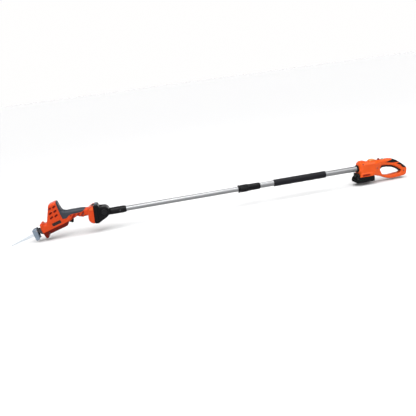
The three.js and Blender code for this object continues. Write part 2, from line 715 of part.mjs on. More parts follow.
// Gear disc with the crank pin under it, at half the stroke from the centre.
function crankGear() {
  const outline = gearOutline(GEAR_TEETH, 180 / GEAR_TEETH);
  const disc = slab(outline, 10, 16).subtract(rod('z', 4.3, 0, 30));
  const pin = rod('z', 3, 3.9, 11, [0, STROKE / 2, 0], 16);
  return solid(drawn(disc.add(pin)).translate(GEAR_S, 0, 0));
}

function gearPlate() {
  return box(46, 107, -23.5, 23.5, 18, 20.5)
    .subtract(rod('z', 4.3, 0, 40, [GEAR_S, 0, 0]))
    .subtract(rod('z', 7, 0, 40, [MOTOR_S, 0, 0]));
}

// Reciprocating rod with the yoke plate under the crank pin and a slit for the blade.
function plunger() {
  const yoke = box(62, 80, -17, 17, -5, 3.5);
  const slot = box(67.5, 74.5, -11.5, 11.5, -20, 20);
  return rod('x', ROD_R, -34, 104)
    .subtract(box(52, 90, -20, 20, 3.5, 20))
    .add(yoke)
    .subtract(slot)
    .subtract(box(-40, -20, -1, 1, -20, 20));
}

function plungerBoot() {
  const bore = ROD_R + 0.5;
  const folds = [[9, -14.5], [11.2, -12.5], [9.2, -10.5], [11.4, -8.5], [9.4, -6.5]];
  const seat = [[9.4, -2], [11.5, 0], [11.5, 4], [bore, 4]];
  return turned([[bore, -14.5], ...folds, ...seat], 'x');
}

// Twist collar that clamps the blade, with grip lugs.
function clampCollar() {
  let body = ring('x', ROD_R + GAP, 9, -32, -23);
  for (let i = 0; i < 6; i++) {
    const a = rad(60 * i);
    body = body.add(rod('x', 1.8, -32, -23, [0, 8.6 * Math.cos(a), 8.6 * Math.sin(a)], 8));
  }
  return body;
}

// Pruning blade: shank, tapering body, and saw teeth along the lower edge.
function blade() {
  const teeth = 24;
  const from = [-42, -9.5];
  const to = [BLADE_TIP[0] + 8, -4];
  const lower = [];
  for (let i = 0; i < teeth; i++) {
    for (const [share, rise] of [[0, 0], [0.5, 2.2]]) {
      const t = (i + share) / teeth;
      lower.push([to[0] + (from[0] - to[0]) * t, to[1] + (from[1] - to[1]) * t + rise]);
    }
  }
  const outline = [BLADE_TIP, ...lower, from, [-35, -4.5], [-21, -4.5], [-21, 4.5], [-35, 4.5], [-40, 6],
    [-60, 6], [-110, 3.5], [-160, 1.2], [BLADE_TIP[0] + 4, 0.2]];
  return prism(outline, -0.65, 0.65);
}

function shoe() {
  const [px, pz] = SHOE_PIVOT;
  const cheek = [[-46.5, -24], [-43, -28], [-26, -28], [-20, 24], [-23, 26.5], [-46.5, 26.5]];
  const inside = box(-44.5, 0, -SHOE_W + 2, SHOE_W - 2, -40, 24.5);
  return prism(cheek, -SHOE_W, SHOE_W)
    .subtract(inside)
    .subtract(box(-60, -40, -4.5, 4.5, -20, 12))
    .subtract(rod('y', 2.3, -30, 30, [px, 0, pz], 16));
}

// Folded steel bracket on the nose that carries the shoe's pivot pin.
function shoeBracket() {
  const [px, pz] = SHOE_PIVOT;
  const side = [[-31, 9], [-26, 9], [-14, -10], [-8.3, -14], [-5, 21], [-29, 21], [-31, 19]];
  return prism(side, -15.3, 15.3)
    .subtract(box(-40, -10.2, -13.5, 13.5, -40, 40))
    .subtract(rod('x', 12, -20, 0))
    .subtract(rod('y', 2.3, -30, 30, [px, 0, pz], 16));
}

function shoePin() {
  const [px, pz] = SHOE_PIVOT;
  const head = SHOE_W + GAP;
  const profile = [[0, -head - 1.5], [3.5, -head - 1.5], [3.5, -head], [2, -head], [2, head], [3.5, head],
    [3.5, head + 1.5], [0, head + 1.5]];
  return turned(profile, 'y', [px, 0, pz], 16);
}

part(saw, 'motor_can', 'steel', motorCan());
part(saw, 'motor_armature', 'copper', motorArmature());
part(saw, 'motor_pinion', 'steel', motorPinion());
part(saw, 'cooling_fan', 'black', coolingFan());
part(saw, 'crank_gear', 'steel', crankGear());
part(saw, 'gear_axle', 'steel', rod('z', 4, 10, 21, [GEAR_S, 0, 0]));
part(saw, 'gear_plate', 'steel', gearPlate());
part(saw, 'front_bush', 'steel', ring('x', ROD_R + GAP, 10, 8.5, 22));
part(saw, 'rear_bush', 'steel', ring('x', ROD_R + GAP, 8.5, 89, 99));
part(saw, 'plunger', 'steel', plunger());
part(saw, 'plunger_boot', 'rubber', plungerBoot());
part(saw, 'clamp_collar', 'black', clampCollar());
part(saw, 'blade', 'steel', blade());
part(saw, 'shoe', 'shoe', shoe());
part(saw, 'shoe_bracket', 'steel', shoeBracket());
part(saw, 'shoe_pin', 'steel', shoePin());

export default object;
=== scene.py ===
"""A telescoping pole saw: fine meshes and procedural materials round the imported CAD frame.

Shapes are drawn in millimetres, in the frame of the group that they belong to (saw, dock, pole or
rear handle), and placed in the row frame in metres. Moulded pieces are distance fields turned into
meshes, so that their edges are rounded and their recesses are real.
"""

import json
import math

import bpy
import numpy as np
from mathutils import Matrix, Vector


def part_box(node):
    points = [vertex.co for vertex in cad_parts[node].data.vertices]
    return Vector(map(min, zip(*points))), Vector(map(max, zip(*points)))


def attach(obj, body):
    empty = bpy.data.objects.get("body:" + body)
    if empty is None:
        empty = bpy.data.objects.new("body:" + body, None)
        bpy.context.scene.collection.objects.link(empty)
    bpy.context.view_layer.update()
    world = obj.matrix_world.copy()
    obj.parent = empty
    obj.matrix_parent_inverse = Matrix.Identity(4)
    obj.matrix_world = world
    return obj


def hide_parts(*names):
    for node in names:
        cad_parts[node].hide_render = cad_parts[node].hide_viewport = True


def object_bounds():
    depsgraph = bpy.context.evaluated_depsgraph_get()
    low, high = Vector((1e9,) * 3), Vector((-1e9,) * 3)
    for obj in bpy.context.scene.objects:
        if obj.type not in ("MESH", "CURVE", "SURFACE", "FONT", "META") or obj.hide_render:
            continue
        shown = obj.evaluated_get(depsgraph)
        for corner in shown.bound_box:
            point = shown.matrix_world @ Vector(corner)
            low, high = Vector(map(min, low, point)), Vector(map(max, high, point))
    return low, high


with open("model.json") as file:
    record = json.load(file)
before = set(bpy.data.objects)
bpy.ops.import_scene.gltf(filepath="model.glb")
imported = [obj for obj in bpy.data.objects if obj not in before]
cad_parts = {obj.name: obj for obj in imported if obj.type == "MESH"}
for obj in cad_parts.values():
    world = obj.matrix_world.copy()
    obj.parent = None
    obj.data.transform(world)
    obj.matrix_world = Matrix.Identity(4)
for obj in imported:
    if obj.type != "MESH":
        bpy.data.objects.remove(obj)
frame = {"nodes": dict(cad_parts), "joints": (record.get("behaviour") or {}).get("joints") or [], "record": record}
cad_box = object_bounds()
JOINTS = {joint["name"]: joint for joint in frame["joints"]}

MM = 0.001
GAP = 0.3  # between pieces that touch
MEDIUM = 1.2  # mesh steps
FINE = 0.8
SMALL = 0.6
LATCH_STEP = 0.5
TINY = 0.4

# ---- camera, floor and light ----

CAMERA_AZIMUTH = math.radians(-8.07)
CAMERA_ELEVATION = math.radians(16.88)
CAMERA_ROLL = math.radians(7.63)
CAMERA_PLACE = Vector((-0.3639, -2.1130, 0.6655))
CAMERA_LENS = 37.84
SENSOR = 36.0
FLOOR_HALF = 60
FLOOR_DROP = 0.0005  # below the lowest point of the object
FLOOR_COLOUR = (0.52, 0.52, 0.523, 1)
KEY_POWER = 6.0
KEY_ANGLE = math.radians(100)
KEY_DIRECTION = Vector((0.12, 0.5, -1))
STRIP_PLACE = Vector((0.1, -0.1, 1.6))
STRIP_TARGET = Vector((0, 0, 0.1))
STRIP_SIZE = (3.2, 0.14)
STRIP_POWER = 26
HORIZON_LIGHT = 1.0
SKY_LIGHT = 0.12
HORIZON_BAND = (0.2, 0.34)  # heights between which the bright horizon fades into the sky
WORLD_COLOUR = (1, 0.995, 0.99, 1)


def make_camera():
    a, e, r = CAMERA_AZIMUTH, CAMERA_ELEVATION, CAMERA_ROLL
    back = Vector((math.sin(a) * math.cos(e), -math.cos(a) * math.cos(e), math.sin(e)))
    level = Vector((math.cos(a), math.sin(a), 0))
    upright = back.cross(level)
    right = level * math.cos(r) - upright * math.sin(r)
    up = level * math.sin(r) + upright * math.cos(r)
    data = bpy.data.cameras.new("camera")
    data.lens = CAMERA_LENS
    data.sensor_width = SENSOR
    camera = bpy.data.objects.new("camera", data)
    turn = Matrix((right, up, back)).transposed().to_4x4()
    camera.matrix_world = Matrix.Translation(CAMERA_PLACE) @ turn
    bpy.context.scene.collection.objects.link(camera)
    bpy.context.scene.camera = camera


def make_floor():
    paint, tree, shader = new_material("floor_paint")
    feed(tree, shader, Base_Color=FLOOR_COLOUR, Roughness=0.9)
    data = bpy.data.meshes.new("floor")
    corners = [(x * FLOOR_HALF, y * FLOOR_HALF, 0) for x, y in ((-1, -1), (1, -1), (1, 1), (-1, 1))]
    data.from_pydata(corners, [], [(0, 1, 2, 3)])
    data.materials.append(paint)
    floor = bpy.data.objects.new("floor", data)
    floor.location.z = cad_box[0].z - FLOOR_DROP
    bpy.context.scene.collection.objects.link(floor)


def add_light(name, kind, power, direction):
    data = bpy.data.lights.new(name, kind)
    data.energy = power
    light = bpy.data.objects.new(name, data)
    light.rotation_euler = direction.to_track_quat("-Z", "Y").to_euler()
    bpy.context.scene.collection.objects.link(light)
    return light


def make_lights():
    """A soft key from above and in front, and a long strip over the tool for the top edges."""
    key = add_light("key", "SUN", KEY_POWER, KEY_DIRECTION)
    key.data.angle = KEY_ANGLE
    strip = add_light("strip", "AREA", STRIP_POWER, STRIP_TARGET - STRIP_PLACE)
    strip.location = STRIP_PLACE
    strip.data.shape = "RECTANGLE"
    strip.data.size, strip.data.size_y = STRIP_SIZE


def make_world():
    """Bright at the horizon, where it meets the floor, and dark overhead."""
    world = bpy.data.worlds.new("studio")
    world.use_nodes = True
    tree = world.node_tree
    height = add_node(tree, "SeparateXYZ", "Z", Vector=add_node(tree, "TexCoord", "Generated"))
    strength = remap(tree, height, HORIZON_LIGHT, SKY_LIGHT, *HORIZON_BAND)
    feed(tree, tree.nodes["Background"], Strength=strength, Color=WORLD_COLOUR)
    bpy.context.scene.world = world
    bpy.context.scene.view_settings.view_transform = "Standard"


# ---- frames ----


def axes(origin, along, up):
    """A frame from millimetres to the row frame. Origin, along and up are in the row frame."""
    along, up = Vector(along).normalized(), Vector(up).normalized()
    turn = Matrix((along, up.cross(along), up)).transposed().to_4x4()
    return Matrix.Translation(origin) @ turn @ Matrix.Scale(MM, 4)


CRANK_S = 71  # crank axis in the saw's frame
KNUCKLE = (47, 4)  # pivot axis in the dock's frame
saw_along = Vector(JOINTS["plunger_slide"]["axis"])
saw_up = Vector(JOINTS["crank_spin"]["axis"])
dock_up = -Vector(JOINTS["saw_dock_slide"]["axis"])
dock_along = Vector((dock_up.z, 0, -dock_up.x))
pole_height = (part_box("outer_tube")[0].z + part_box("outer_tube")[1].z) / 2
rear_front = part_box("nose_ring")[1].x + GAP * MM
knuckle = Vector(JOINTS["head_pivot"]["pos_m"])

SAW = axes(Vector(JOINTS["crank_spin"]["pos_m"]) - saw_along * CRANK_S * MM, saw_along, saw_up)
DOCK = axes(knuckle - (dock_along * KNUCKLE[0] + dock_up * KNUCKLE[1]) * MM, dock_along, dock_up)
POLE = axes((0, 0, pole_height), (1, 0, 0), (0, 0, 1))
REAR = axes((rear_front, 0, pole_height), (1, 0, 0), (0, 0, 1))
SAW_TO_DOCK = DOCK.inverted() @ SAW


# ---- distance fields: negative inside, millimetres ----


class Outline:
    """Signed distance to a closed outline in the xz plane, read off a fine raster."""

    STEP = 0.5
    MARGIN = 14

    def __init__(self, points, corner=0.0):
        points = np.array(round_corners(points, corner) if corner else points, float)
        self.low = points.min(0) - self.MARGIN
        size = np.ceil((points.max(0) + self.MARGIN - self.low) / self.STEP).astype(int) + 1
        x = self.low[0] + self.STEP * np.arange(size[0])[:, None]
        z = self.low[1] + self.STEP * np.arange(size[1])[None, :]
        nearest = np.full(size, np.inf)
        inside = np.zeros(size, bool)
        for a, b in zip(points, np.roll(points, -1, 0)):
            edge = b - a
            t = np.clip(((x - a[0]) * edge[0] + (z - a[1]) * edge[1]) / (edge @ edge), 0, 1)
            nearest = np.minimum(nearest, np.hypot(x - a[0] - t * edge[0], z - a[1] - t * edge[1]))
            if a[1] != b[1]:
                crossing = a[0] + (z - a[1]) * edge[0] / edge[1]
                inside ^= ((a[1] > z) != (b[1] > z)) & (x < crossing)
        self.raster = np.where(inside, -nearest, nearest).astype(np.float32)

    def __call__(self, x, z):
        x, z = np.broadcast_arrays(x, z)
        top = np.array(self.raster.shape) - 1.001
        u = np.clip((x - self.low[0]) / self.STEP, 0, top[0])
        v = np.clip((z - self.low[1]) / self.STEP, 0, top[1])
        i, j = u.astype(int), v.astype(int)
        u, v = u - i, v - j
        r = self.raster
        near = r[i, j] * (1 - v) + r[i, j + 1] * v
        far = r[i + 1, j] * (1 - v) + r[i + 1, j + 1] * v
        return near * (1 - u) + far * u


def round_corners(points, radius, steps=4):
    """The outline with each corner turned into a short curve."""
    made = []
    count = len(points)
    for i, corner in enumerate(points):
        corner = Vector(corner)
        before = Vector(points[i - 1]) - corner
        after = Vector(points[(i + 1) % count]) - corner
        start = corner + before * min(0.45, radius / before.length)
        end = corner + after * min(0.45, radius / after.length)
        for k in range(steps + 1):
            t = k / steps
            made.append(tuple(start * (1 - t) ** 2 + corner * 2 * t * (1 - t) + end * t * t))
    return made


def arc(x, z, r, start, end, steps=6):
    angles = np.radians(np.linspace(start, end, steps + 1))
    return [(x + r * math.cos(a), z + r * math.sin(a)) for a in angles]


def both(a, b, r=0.0):
    """Where both fields are inside, with the edge between them rounded to radius r."""
    if np.isscalar(r) and r == 0:
        return np.maximum(a, b)
    u, v = a + r, b + r
    return np.minimum(np.maximum(u, v), 0) + np.hypot(np.maximum(u, 0), np.maximum(v, 0)) - r


def either(a, b, r=0.0):
    """Where either field is inside, with the corner between them filled to radius r."""
    return -both(-a, -b, r)


def less(a, b, r=0.0):
    """The first field with the second one cut away."""
    return both(a, -b, r)


def slab(value, low, high):
    """Inside between two values."""
    return np.abs(value - (low + high) / 2) - (high - low) / 2


def block(x, y, z, low, high, r=0.0):
    """A box between two corners with edges rounded to r."""
    d = [np.abs(v - (a + b) / 2) - (b - a) / 2 + r for v, a, b in zip((x, y, z), low, high)]
    outer = np.sqrt(sum(np.maximum(v, 0) ** 2 for v in d))
    return outer + np.minimum(np.maximum(np.maximum(d[0], d[1]), d[2]), 0) - r


def radius(y, z):
    return np.hypot(y, z)


def grooves(value, pitch, half):
    """Inside a row of grooves, repeated every pitch, each twice half wide."""
    return np.abs((value / pitch) % 1.0 - 0.5) * pitch - half


def screw_pocket(x, y, z, screw):
    """A blind hole in the left side. screw is its x, its z and how far out the face lies."""
    sx, sz, face = screw
    return both(np.hypot(x - sx, z - sz) - 3.8, y + face - 2)


def blend_step(value, low, high):
    t = np.clip((value - low) / (high - low), 0, 1)
    return t * t * (3 - 2 * t)


# ---- fields to meshes ----


def surface(field, low, high, step):
    """Vertices and quads of the surface where the field is zero, one vertex in each mixed cell."""
    ticks = [np.arange(a - 2 * step, b + 2 * step, step) for a, b in zip(low, high)]
    grid = np.meshgrid(*ticks, indexing="ij", sparse=True)
    value = np.array(np.broadcast_to(field(*grid), [len(t) for t in ticks]), np.float32)
    cells = tuple(n - 1 for n in value.shape)
    total = np.zeros((*cells, 3), np.float32)
    count = np.zeros(cells, np.float32)
    crossings = []
    for axis in range(3):
        others = [k for k in range(3) if k != axis]
        a = value.take(np.arange(cells[axis]), axis)
        b = value.take(np.arange(1, cells[axis] + 1), axis)
        crossing = (a < 0) != (b < 0)
        share = np.where(crossing, a / np.where(crossing, a - b, 1), 0)
        crossings.append((crossing, a < 0))
        for du in (0, 1):
            for dv in (0, 1):
                window = [slice(None)] * 3
                window[others[0]] = slice(du, cells[others[0]] + du)
                window[others[1]] = slice(dv, cells[others[1]] + dv)
                hit = crossing[tuple(window)]
                total[..., axis] += share[tuple(window)]
                total[..., others[0]] += hit * du
                total[..., others[1]] += hit * dv
                count += hit
    mixed = count > 0
    index = np.full(cells, -1)
    index[mixed] = np.arange(mixed.sum())
    vertices = np.argwhere(mixed) + total[mixed] / count[mixed][:, None]
    vertices = vertices * step + np.array([t[0] for t in ticks])
    quads = []
    for axis in range(3):
        u, v = (axis + 1) % 3, (axis + 2) % 3
        crossing, starts_inside = crossings[axis]
        inner = [slice(None)] * 3
        inner[u] = slice(1, -1)
        inner[v] = slice(1, -1)
        at = np.argwhere(crossing[tuple(inner)])
        at[:, u] += 1
        at[:, v] += 1
        corners = []
        for back_u, back_v in ((0, 0), (1, 0), (1, 1), (0, 1)):
            cell = at.copy()
            cell[:, u] -= back_u
            cell[:, v] -= back_v
            corners.append(index[tuple(cell.T)])
        quad = np.stack(corners, 1)
        flip = ~starts_inside[tuple(at.T)]
        quad[flip] = quad[flip][:, ::-1]
        quads.append(quad)
    return settle(field, vertices, step), np.concatenate(quads)


def settle(field, vertices, step):
    """Moves vertices onto the surface itself, along the field's slope."""
    reach = 0.25 * step
    for _ in range(2):
        distance = field(*vertices.T)
        slope = []
        for axis in range(3):
            shift = np.zeros(3)
            shift[axis] = reach
            slope.append((field(*(vertices + shift).T) - field(*(vertices - shift).T)) / (2 * reach))
        slope = np.stack(slope, 1)
        steep = np.maximum((slope**2).sum(1), 0.3)
        move = slope * (-distance / steep)[:, None]
        length = np.linalg.norm(move, axis=1, keepdims=True)
        vertices = vertices + move * np.minimum(1, 0.45 * step / np.maximum(length, 1e-9))
    return vertices


def local_box(node, place, margin):
    """Lowest and highest corners of a CAD node in a local frame."""
    back = np.array(place.inverted())
    corners = np.array([v.co for v in frame["nodes"][node].data.vertices])
    corners = corners @ back[:3, :3].T + back[:3, 3]
    return corners.min(0) - margin, corners.max(0) + margin


def new_piece(name, vertices, faces, place, materials, sharp=40):
    mesh = bpy.data.meshes.new(name)
    mesh.from_pydata([tuple(v) for v in vertices], [], [tuple(f) for f in faces])
    mesh.transform(place)
    for entry in materials:
        mesh.materials.append(entry)
    mesh.polygons.foreach_set("use_smooth", np.ones(len(mesh.polygons), bool))
    mesh.set_sharp_from_angle(angle=math.radians(sharp))
    mesh.update()
    piece = bpy.data.objects.new(name, mesh)
    bpy.context.scene.collection.objects.link(piece)
    return piece


def fit_in(piece, name, body):
    """Puts a finished piece on its body, in the place of the CAD node of that name."""
    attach(piece, body)
    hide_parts(name)


def moulded(name, body, slot, place, field, step, materials=None, paint=None, margin=3.0):
    """A piece made from a distance field. paint gives each face its place in the materials."""
    low, high = local_box(name, place, margin)
    vertices, quads = surface(field, low, high, step)
    piece = new_piece(name, vertices, quads, place, materials or [SLOT_PAINT[slot]])
    if paint:
        centres = vertices[quads].mean(1)
        index = paint(*centres.T).astype(np.int32)
        piece.data.polygons.foreach_set("material_index", index)
    fit_in(piece, name, body)


def moulded_halves(names, body, slot, place, whole, edge, materials=None, paint=None):
    """A left and a right piece, which meet on the middle plane with their edges rounded."""
    for side, name in zip((-1, 1), names):
        def half(x, y, z):
            return both(whole(x, y, z), GAP / 2 - side * y, edge)

        moulded(name, body, slot, place, half, MEDIUM, materials, paint)


def ring_faces(rings, count, closed):
    """Quads between rings of vertices that lie one after another in the list."""
    total = rings * count
    faces = []
    for start in range(0, total if closed else total - count, count):
        for k in range(count):
            a, b = start + k, start + (k + 1) % count
            faces.append((a, b, (b + count) % total, (a + count) % total))
    return faces


def turned(name, body, slot, place, profile, sides):
    """A piece turned about the local x axis from a closed profile of (along, radius)."""
    profile = np.array(profile, float)
    angles = np.linspace(0, 2 * math.pi, sides, endpoint=False)
    vertices = [(x, r * math.cos(a), r * math.sin(a)) for a in angles for x, r in profile]
    faces = [(a, d, c, b) for a, b, c, d in ring_faces(sides, len(profile), True)]
    piece = new_piece(name, vertices, faces, place, [SLOT_PAINT[slot]])
    fit_in(piece, name, body)


# ---- materials: every one reads its detail from the piece's own coordinates, in metres ----


def new_material(name):
    paint = bpy.data.materials.new(name)
    paint.use_nodes = True
    tree = paint.node_tree
    return paint, tree, tree.nodes["Principled BSDF"]


def feed(tree, node, **inputs):
    """Sets the inputs of a node, from values or from the outputs of other nodes."""
    for name, value in inputs.items():
        socket = node.inputs[name.replace("_", " ")]
        if isinstance(value, bpy.types.NodeSocket):
            tree.links.new(value, socket)
        else:
            socket.default_value = value


def add_node(tree, kind, output, **inputs):
    node = tree.nodes.new("ShaderNode" + kind)
    feed(tree, node, **inputs)
    return node.outputs[output]


def coordinates(tree, stretch=(1, 1, 1)):
    where = add_node(tree, "TexCoord", "Object")
    return add_node(tree, "Mapping", "Vector", Vector=where, Scale=stretch)


def noise(tree, vector, scale, detail=3.0):
    return add_node(tree, "TexNoise", "Fac", Vector=vector, Scale=scale, Detail=detail)


def remap(tree, value, low, high, start=0.3, end=0.7):
    span = {"From_Min": start, "From_Max": end, "To_Min": low, "To_Max": high}
    return add_node(tree, "MapRange", "Result", Value=value, **span)


def mix(tree, share, a, b):
    node = tree.nodes.new("ShaderNodeMix")
    node.data_type = "RGBA"
    tree.links.new(share, node.inputs["Factor"])
    for socket, value in (("A", a), ("B", b)):
        target = [s for s in node.inputs if s.name == socket and s.type == "RGBA"][0]
        if isinstance(value, tuple):
            target.default_value = (*value, 1)
        else:
            tree.links.new(value, target)
    return [s for s in node.outputs if s.type == "RGBA"][0]


def bump(tree, height, depth):
    return add_node(tree, "Bump", "Normal", Distance=depth, Strength=1.0, Height=height)


def tint(colour, factor):
    return tuple(min(1.0, c * factor) for c in colour)


def plastic(name, colour, roughness, grain=1400, depth=0.00004, edge_wear_and_highlight=1.25, shine=0.5):
    """Moulded plastic: fine spark-eroded grain, faint flow shading, and paler edges, partly rubbed wear and partly
    a painted highlight.
    """
    paint, tree, shader = new_material(name)
    where = coordinates(tree)
    cloudy = remap(tree, noise(tree, where, 22), 0, 1)
    base = mix(tree, cloudy, tint(colour, 0.93), tint(colour, 1.06))
    # Edges lightened by pointiness: partly wear, partly a painted highlight for the light that rounded edges
    # catch.
    rubbed_and_highlit_edges = remap(tree, add_node(tree, "NewGeometry", "Pointiness"), 0, 0.7, 0.52, 0.6)
    fine = noise(tree, where, grain, 2)
    feed(
        tree, shader,
        Base_Color=mix(tree, rubbed_and_highlit_edges, base, tint(colour, edge_wear_and_highlight)),
        Roughness=remap(tree, fine, roughness - 0.05, roughness + 0.06),
        Specular_IOR_Level=shine,
        Normal=bump(tree, fine, depth),
    )
    return paint


def metal(name, colour, roughness, stretch=(6, 160, 160), depth=0.00002, contrast=0.12):
    """Drawn or ground metal: long fine lines along one direction."""
    paint, tree, shader = new_material(name)
    lines = noise(tree, coordinates(tree, stretch), 9, 4)
    patches = remap(tree, noise(tree, coordinates(tree), 30), 0, 1)
    share = remap(tree, lines, 0, 1)
    base = mix(tree, share, tint(colour, 1 - contrast), tint(colour, 1 + contrast / 2))
    feed(
        tree, shader,
        Base_Color=mix(tree, patches, base, tint(colour, 0.96)),
        Metallic=1.0,
        Roughness=remap(tree, lines, roughness - 0.06, roughness + 0.08),
        Normal=bump(tree, lines, depth),
    )
    return paint


def foam_paint(name, colour):
    """Closed-cell foam: small pits over a dull, slightly dusty skin."""
    paint, tree, shader = new_material(name)
    where = coordinates(tree)
    cells = add_node(tree, "TexVoronoi", "Distance", Scale=900, Vector=where)
    pits = remap(tree, cells, 0, 1, 0.1, 0.6)
    dust = remap(tree, noise(tree, where, 45, 4), 0, 1)
    base = mix(tree, pits, tint(colour, 0.75), tint(colour, 1.15))
    feed(
        tree, shader,
        Base_Color=mix(tree, dust, base, tint(colour, 1.35)),
        Roughness=remap(tree, dust, 0.34, 0.5),
        Specular_IOR_Level=0.12,
        Normal=bump(tree, pits, 0.00015),
    )
    return paint


def lens_paint(name, colour):
    """Tinted clear plastic with a faint moulded swirl."""
    paint, tree, shader = new_material(name)
    swirl = remap(tree, noise(tree, coordinates(tree), 300), 0, 1)
    feed(
        tree, shader,
        Base_Color=mix(tree, swirl, tint(colour, 0.9), tint(colour, 1.1)),
        Roughness=remap(tree, swirl, 0.08, 0.14),
        Transmission_Weight=0.2,
        Coat_Weight=0.6,
    )
    return paint


SOFT = {"grain": 900, "depth": 0.0001, "edge_wear_and_highlight": 1.8}  # the skin of soft, moulded rubber
SLOT_PAINT = {
    "orange_plastic": plastic("orange_paint", (0.37, 0.031, 0.0025), 0.27, shine=0.16, edge_wear_and_highlight=1.2),
    "grip_rubber": plastic("grip_rubber_paint", (0.016, 0.019, 0.026), 0.4, shine=0.25, **SOFT),
    "black_plastic": plastic("black_plastic_paint", (0.0015, 0.0015, 0.002), 0.17, edge_wear_and_highlight=2.2, shine=0.1),
    "foam": foam_paint("foam_paint", (0.0025, 0.0025, 0.004)),
    "tube_aluminium": metal("aluminium_paint", (0.2, 0.203, 0.207), 0.3),
    "steel": metal("steel_paint", (0.3, 0.31, 0.33), 0.35, stretch=(60, 60, 60)),
    "blade_steel": metal("blade_paint", (0.62, 0.66, 0.7), 0.36, stretch=(20, 60, 200), contrast=0.18),
    "shoe_steel": metal("shoe_paint", (0.19, 0.235, 0.29), 0.42, stretch=(60, 60, 30)),
    "copper_winding": metal(
        "winding_paint", (0.55, 0.24, 0.1), 0.3, stretch=(200, 200, 30), depth=0.0002, contrast=0.5
    ),
    "nylon": plastic("nylon_paint", (0.62, 0.58, 0.48), 0.45),
    "red_button": plastic("red_button_paint", (0.14, 0.008, 0.005), 0.38),
    "indicator_lens": lens_paint("lens_paint", (0.2, 0.3, 0.22)),
    "cell_wrap": plastic("cell_wrap_paint", (0.03, 0.16, 0.09), 0.25),
}
# Painted shade: a darker orange in the vents, the finger hollows, round the foot facet and in the window in the
# rear foot.
ORANGE_RECESS_SHADE = plastic("orange_recess_shade_paint", (0.17, 0.008, 0.002), 0.45, shine=0.1)
# Painted shade: a much darker orange on the barrel's underside below the ridge, standing in for the shade that
# falls there.
ORANGE_UNDERSIDE_SHADE = plastic("orange_underside_shade_paint", (0.09, 0.004, 0.001), 0.32, shine=0.08, edge_wear_and_highlight=1.2)
ORANGE_REAR = plastic("orange_rear_paint", (0.48, 0.056, 0.0035), 0.25, shine=0.2, edge_wear_and_highlight=1.2)
# Painted highlight: a paler orange on the facet of the saw's foot, where it faces the light.
ORANGE_FACET_HIGHLIGHT = plastic("orange_facet_highlight_paint", (0.46, 0.06, 0.008), 0.3, shine=0.2)
OCHRE = plastic("ochre_cap_paint", (0.42, 0.13, 0.02), 0.36)
BADGE = plastic("badge_paint", (0.014, 0.006, 0.005), 0.28, edge_wear_and_highlight=1.5, shine=0.2)
DARK_RUBBER = plastic("dark_rubber_paint", (0.0025, 0.0025, 0.0032), 0.32, shine=0.16, **SOFT)
# Slate grey for the release button, pale enough to stand in for the highlight along the adapter's top: partly
# painted highlight.
SLATE_AND_HIGHLIGHT = plastic("slate_highlight_paint", (0.07, 0.085, 0.11), 0.42, edge_wear_and_highlight=1.4)
DARK_STEEL = metal("dark_steel_paint", (0.05, 0.05, 0.055), 0.4, stretch=(60, 60, 60))


def dress_cad_nodes():
    """Gives every CAD node its slot's material, dark steel for the screws and the motor can, and smooth shading,
    with its real edges kept sharp.
    """
    for entry in frame["record"]["subparts"]:
        node = frame["nodes"][entry["node"]]
        node.data.materials.clear()
        # Dark steel on the motor can is painted shade, so the vent slits show dark; the screws take dark steel
        # too.
        dark = "screw" in entry["node"] or entry["node"] == "motor_can"
        node.data.materials.append(DARK_STEEL if dark else SLOT_PAINT[entry["material_slot"]])
        node.data.polygons.foreach_set("use_smooth", np.ones(len(node.data.polygons), bool))
        node.data.set_sharp_from_angle(angle=math.radians(35))


# ---- saw ----

WALL = 2.6
NOSE_R = 8.5  # roll of the flange round the nose
BARREL_H = 26
BARREL_LOW = -28.5
RAIL = {"neck": 19.5, "head": 23.5, "lip": 4.6, "depth": 12}  # battery-type dock rail

BARREL_SIDE = Outline(
    [(-4, 4), (-6, BARREL_LOW + 3), (3, BARREL_LOW), (112, BARREL_LOW), (122, -20), (126, -12), (134, -9),
     (132, 42), (127, 46), (123, 57), (122.5, 78), (123.6, 98), (118, 103), (84, 104), (79, 98),
     (33, BARREL_H + 1), (-2, 27)],
    4,
)
HANDLE_SIDE = Outline(
    [(112, -6), (126, -12), (165, -8), (174, -7), (181, -12), (188, -18), (200, -23), (243, -30), (258, 4),
     (238, 8.5), (224, 14), (205, 22.5), (164, 34.5), (138, 41.5), (127, 47), (110, 58)],
    5,
)
FLANGE_SIDE = Outline([*arc(3, -33, NOSE_R, 190, 350), (13, 0), *arc(8, 30, 8, 10, 170), (-4.5, 4)])
GRIP_SIDE = Outline(
    [(110.5, 15), (127, 8.5), (140, 15), (154, 17), (181, 10.5), (202, 5.5), (217, 8), (228, 14), (236, 28),
     (209, 45), (150, 62), (140, 112), (120, 112), (118.5, 96), (114.5, 68), (111.5, 40)],
    3,
)
BASE_SIDE = Outline(
    [(0, 41), (-8, 39), (-21, 32), (-29, 24), (-30, -26), (-26, -37), (-17, -45), (-8, -48.5), (0, -49)], 4
)
BASE_FACET = Outline([(-2.5, 37), (-8, 36), (-20, 29), (-26.5, 22), (-14, 17), (-2.5, 18)], 2)
DOCK_HALF = 33
DOCK_RAIL = (-40, 38)  # span of the tongue on the head
TUCK = 8  # how far the sides of the barrel turn under, below the ridge
TUCK_FROM = -7


def saw_width(x):
    return np.interp(x, [-8, 0, 8, 16, 108, 128, 180, 260], [26, 29.5, 29.5, 26.5, 26.5, 21, 19, 19])


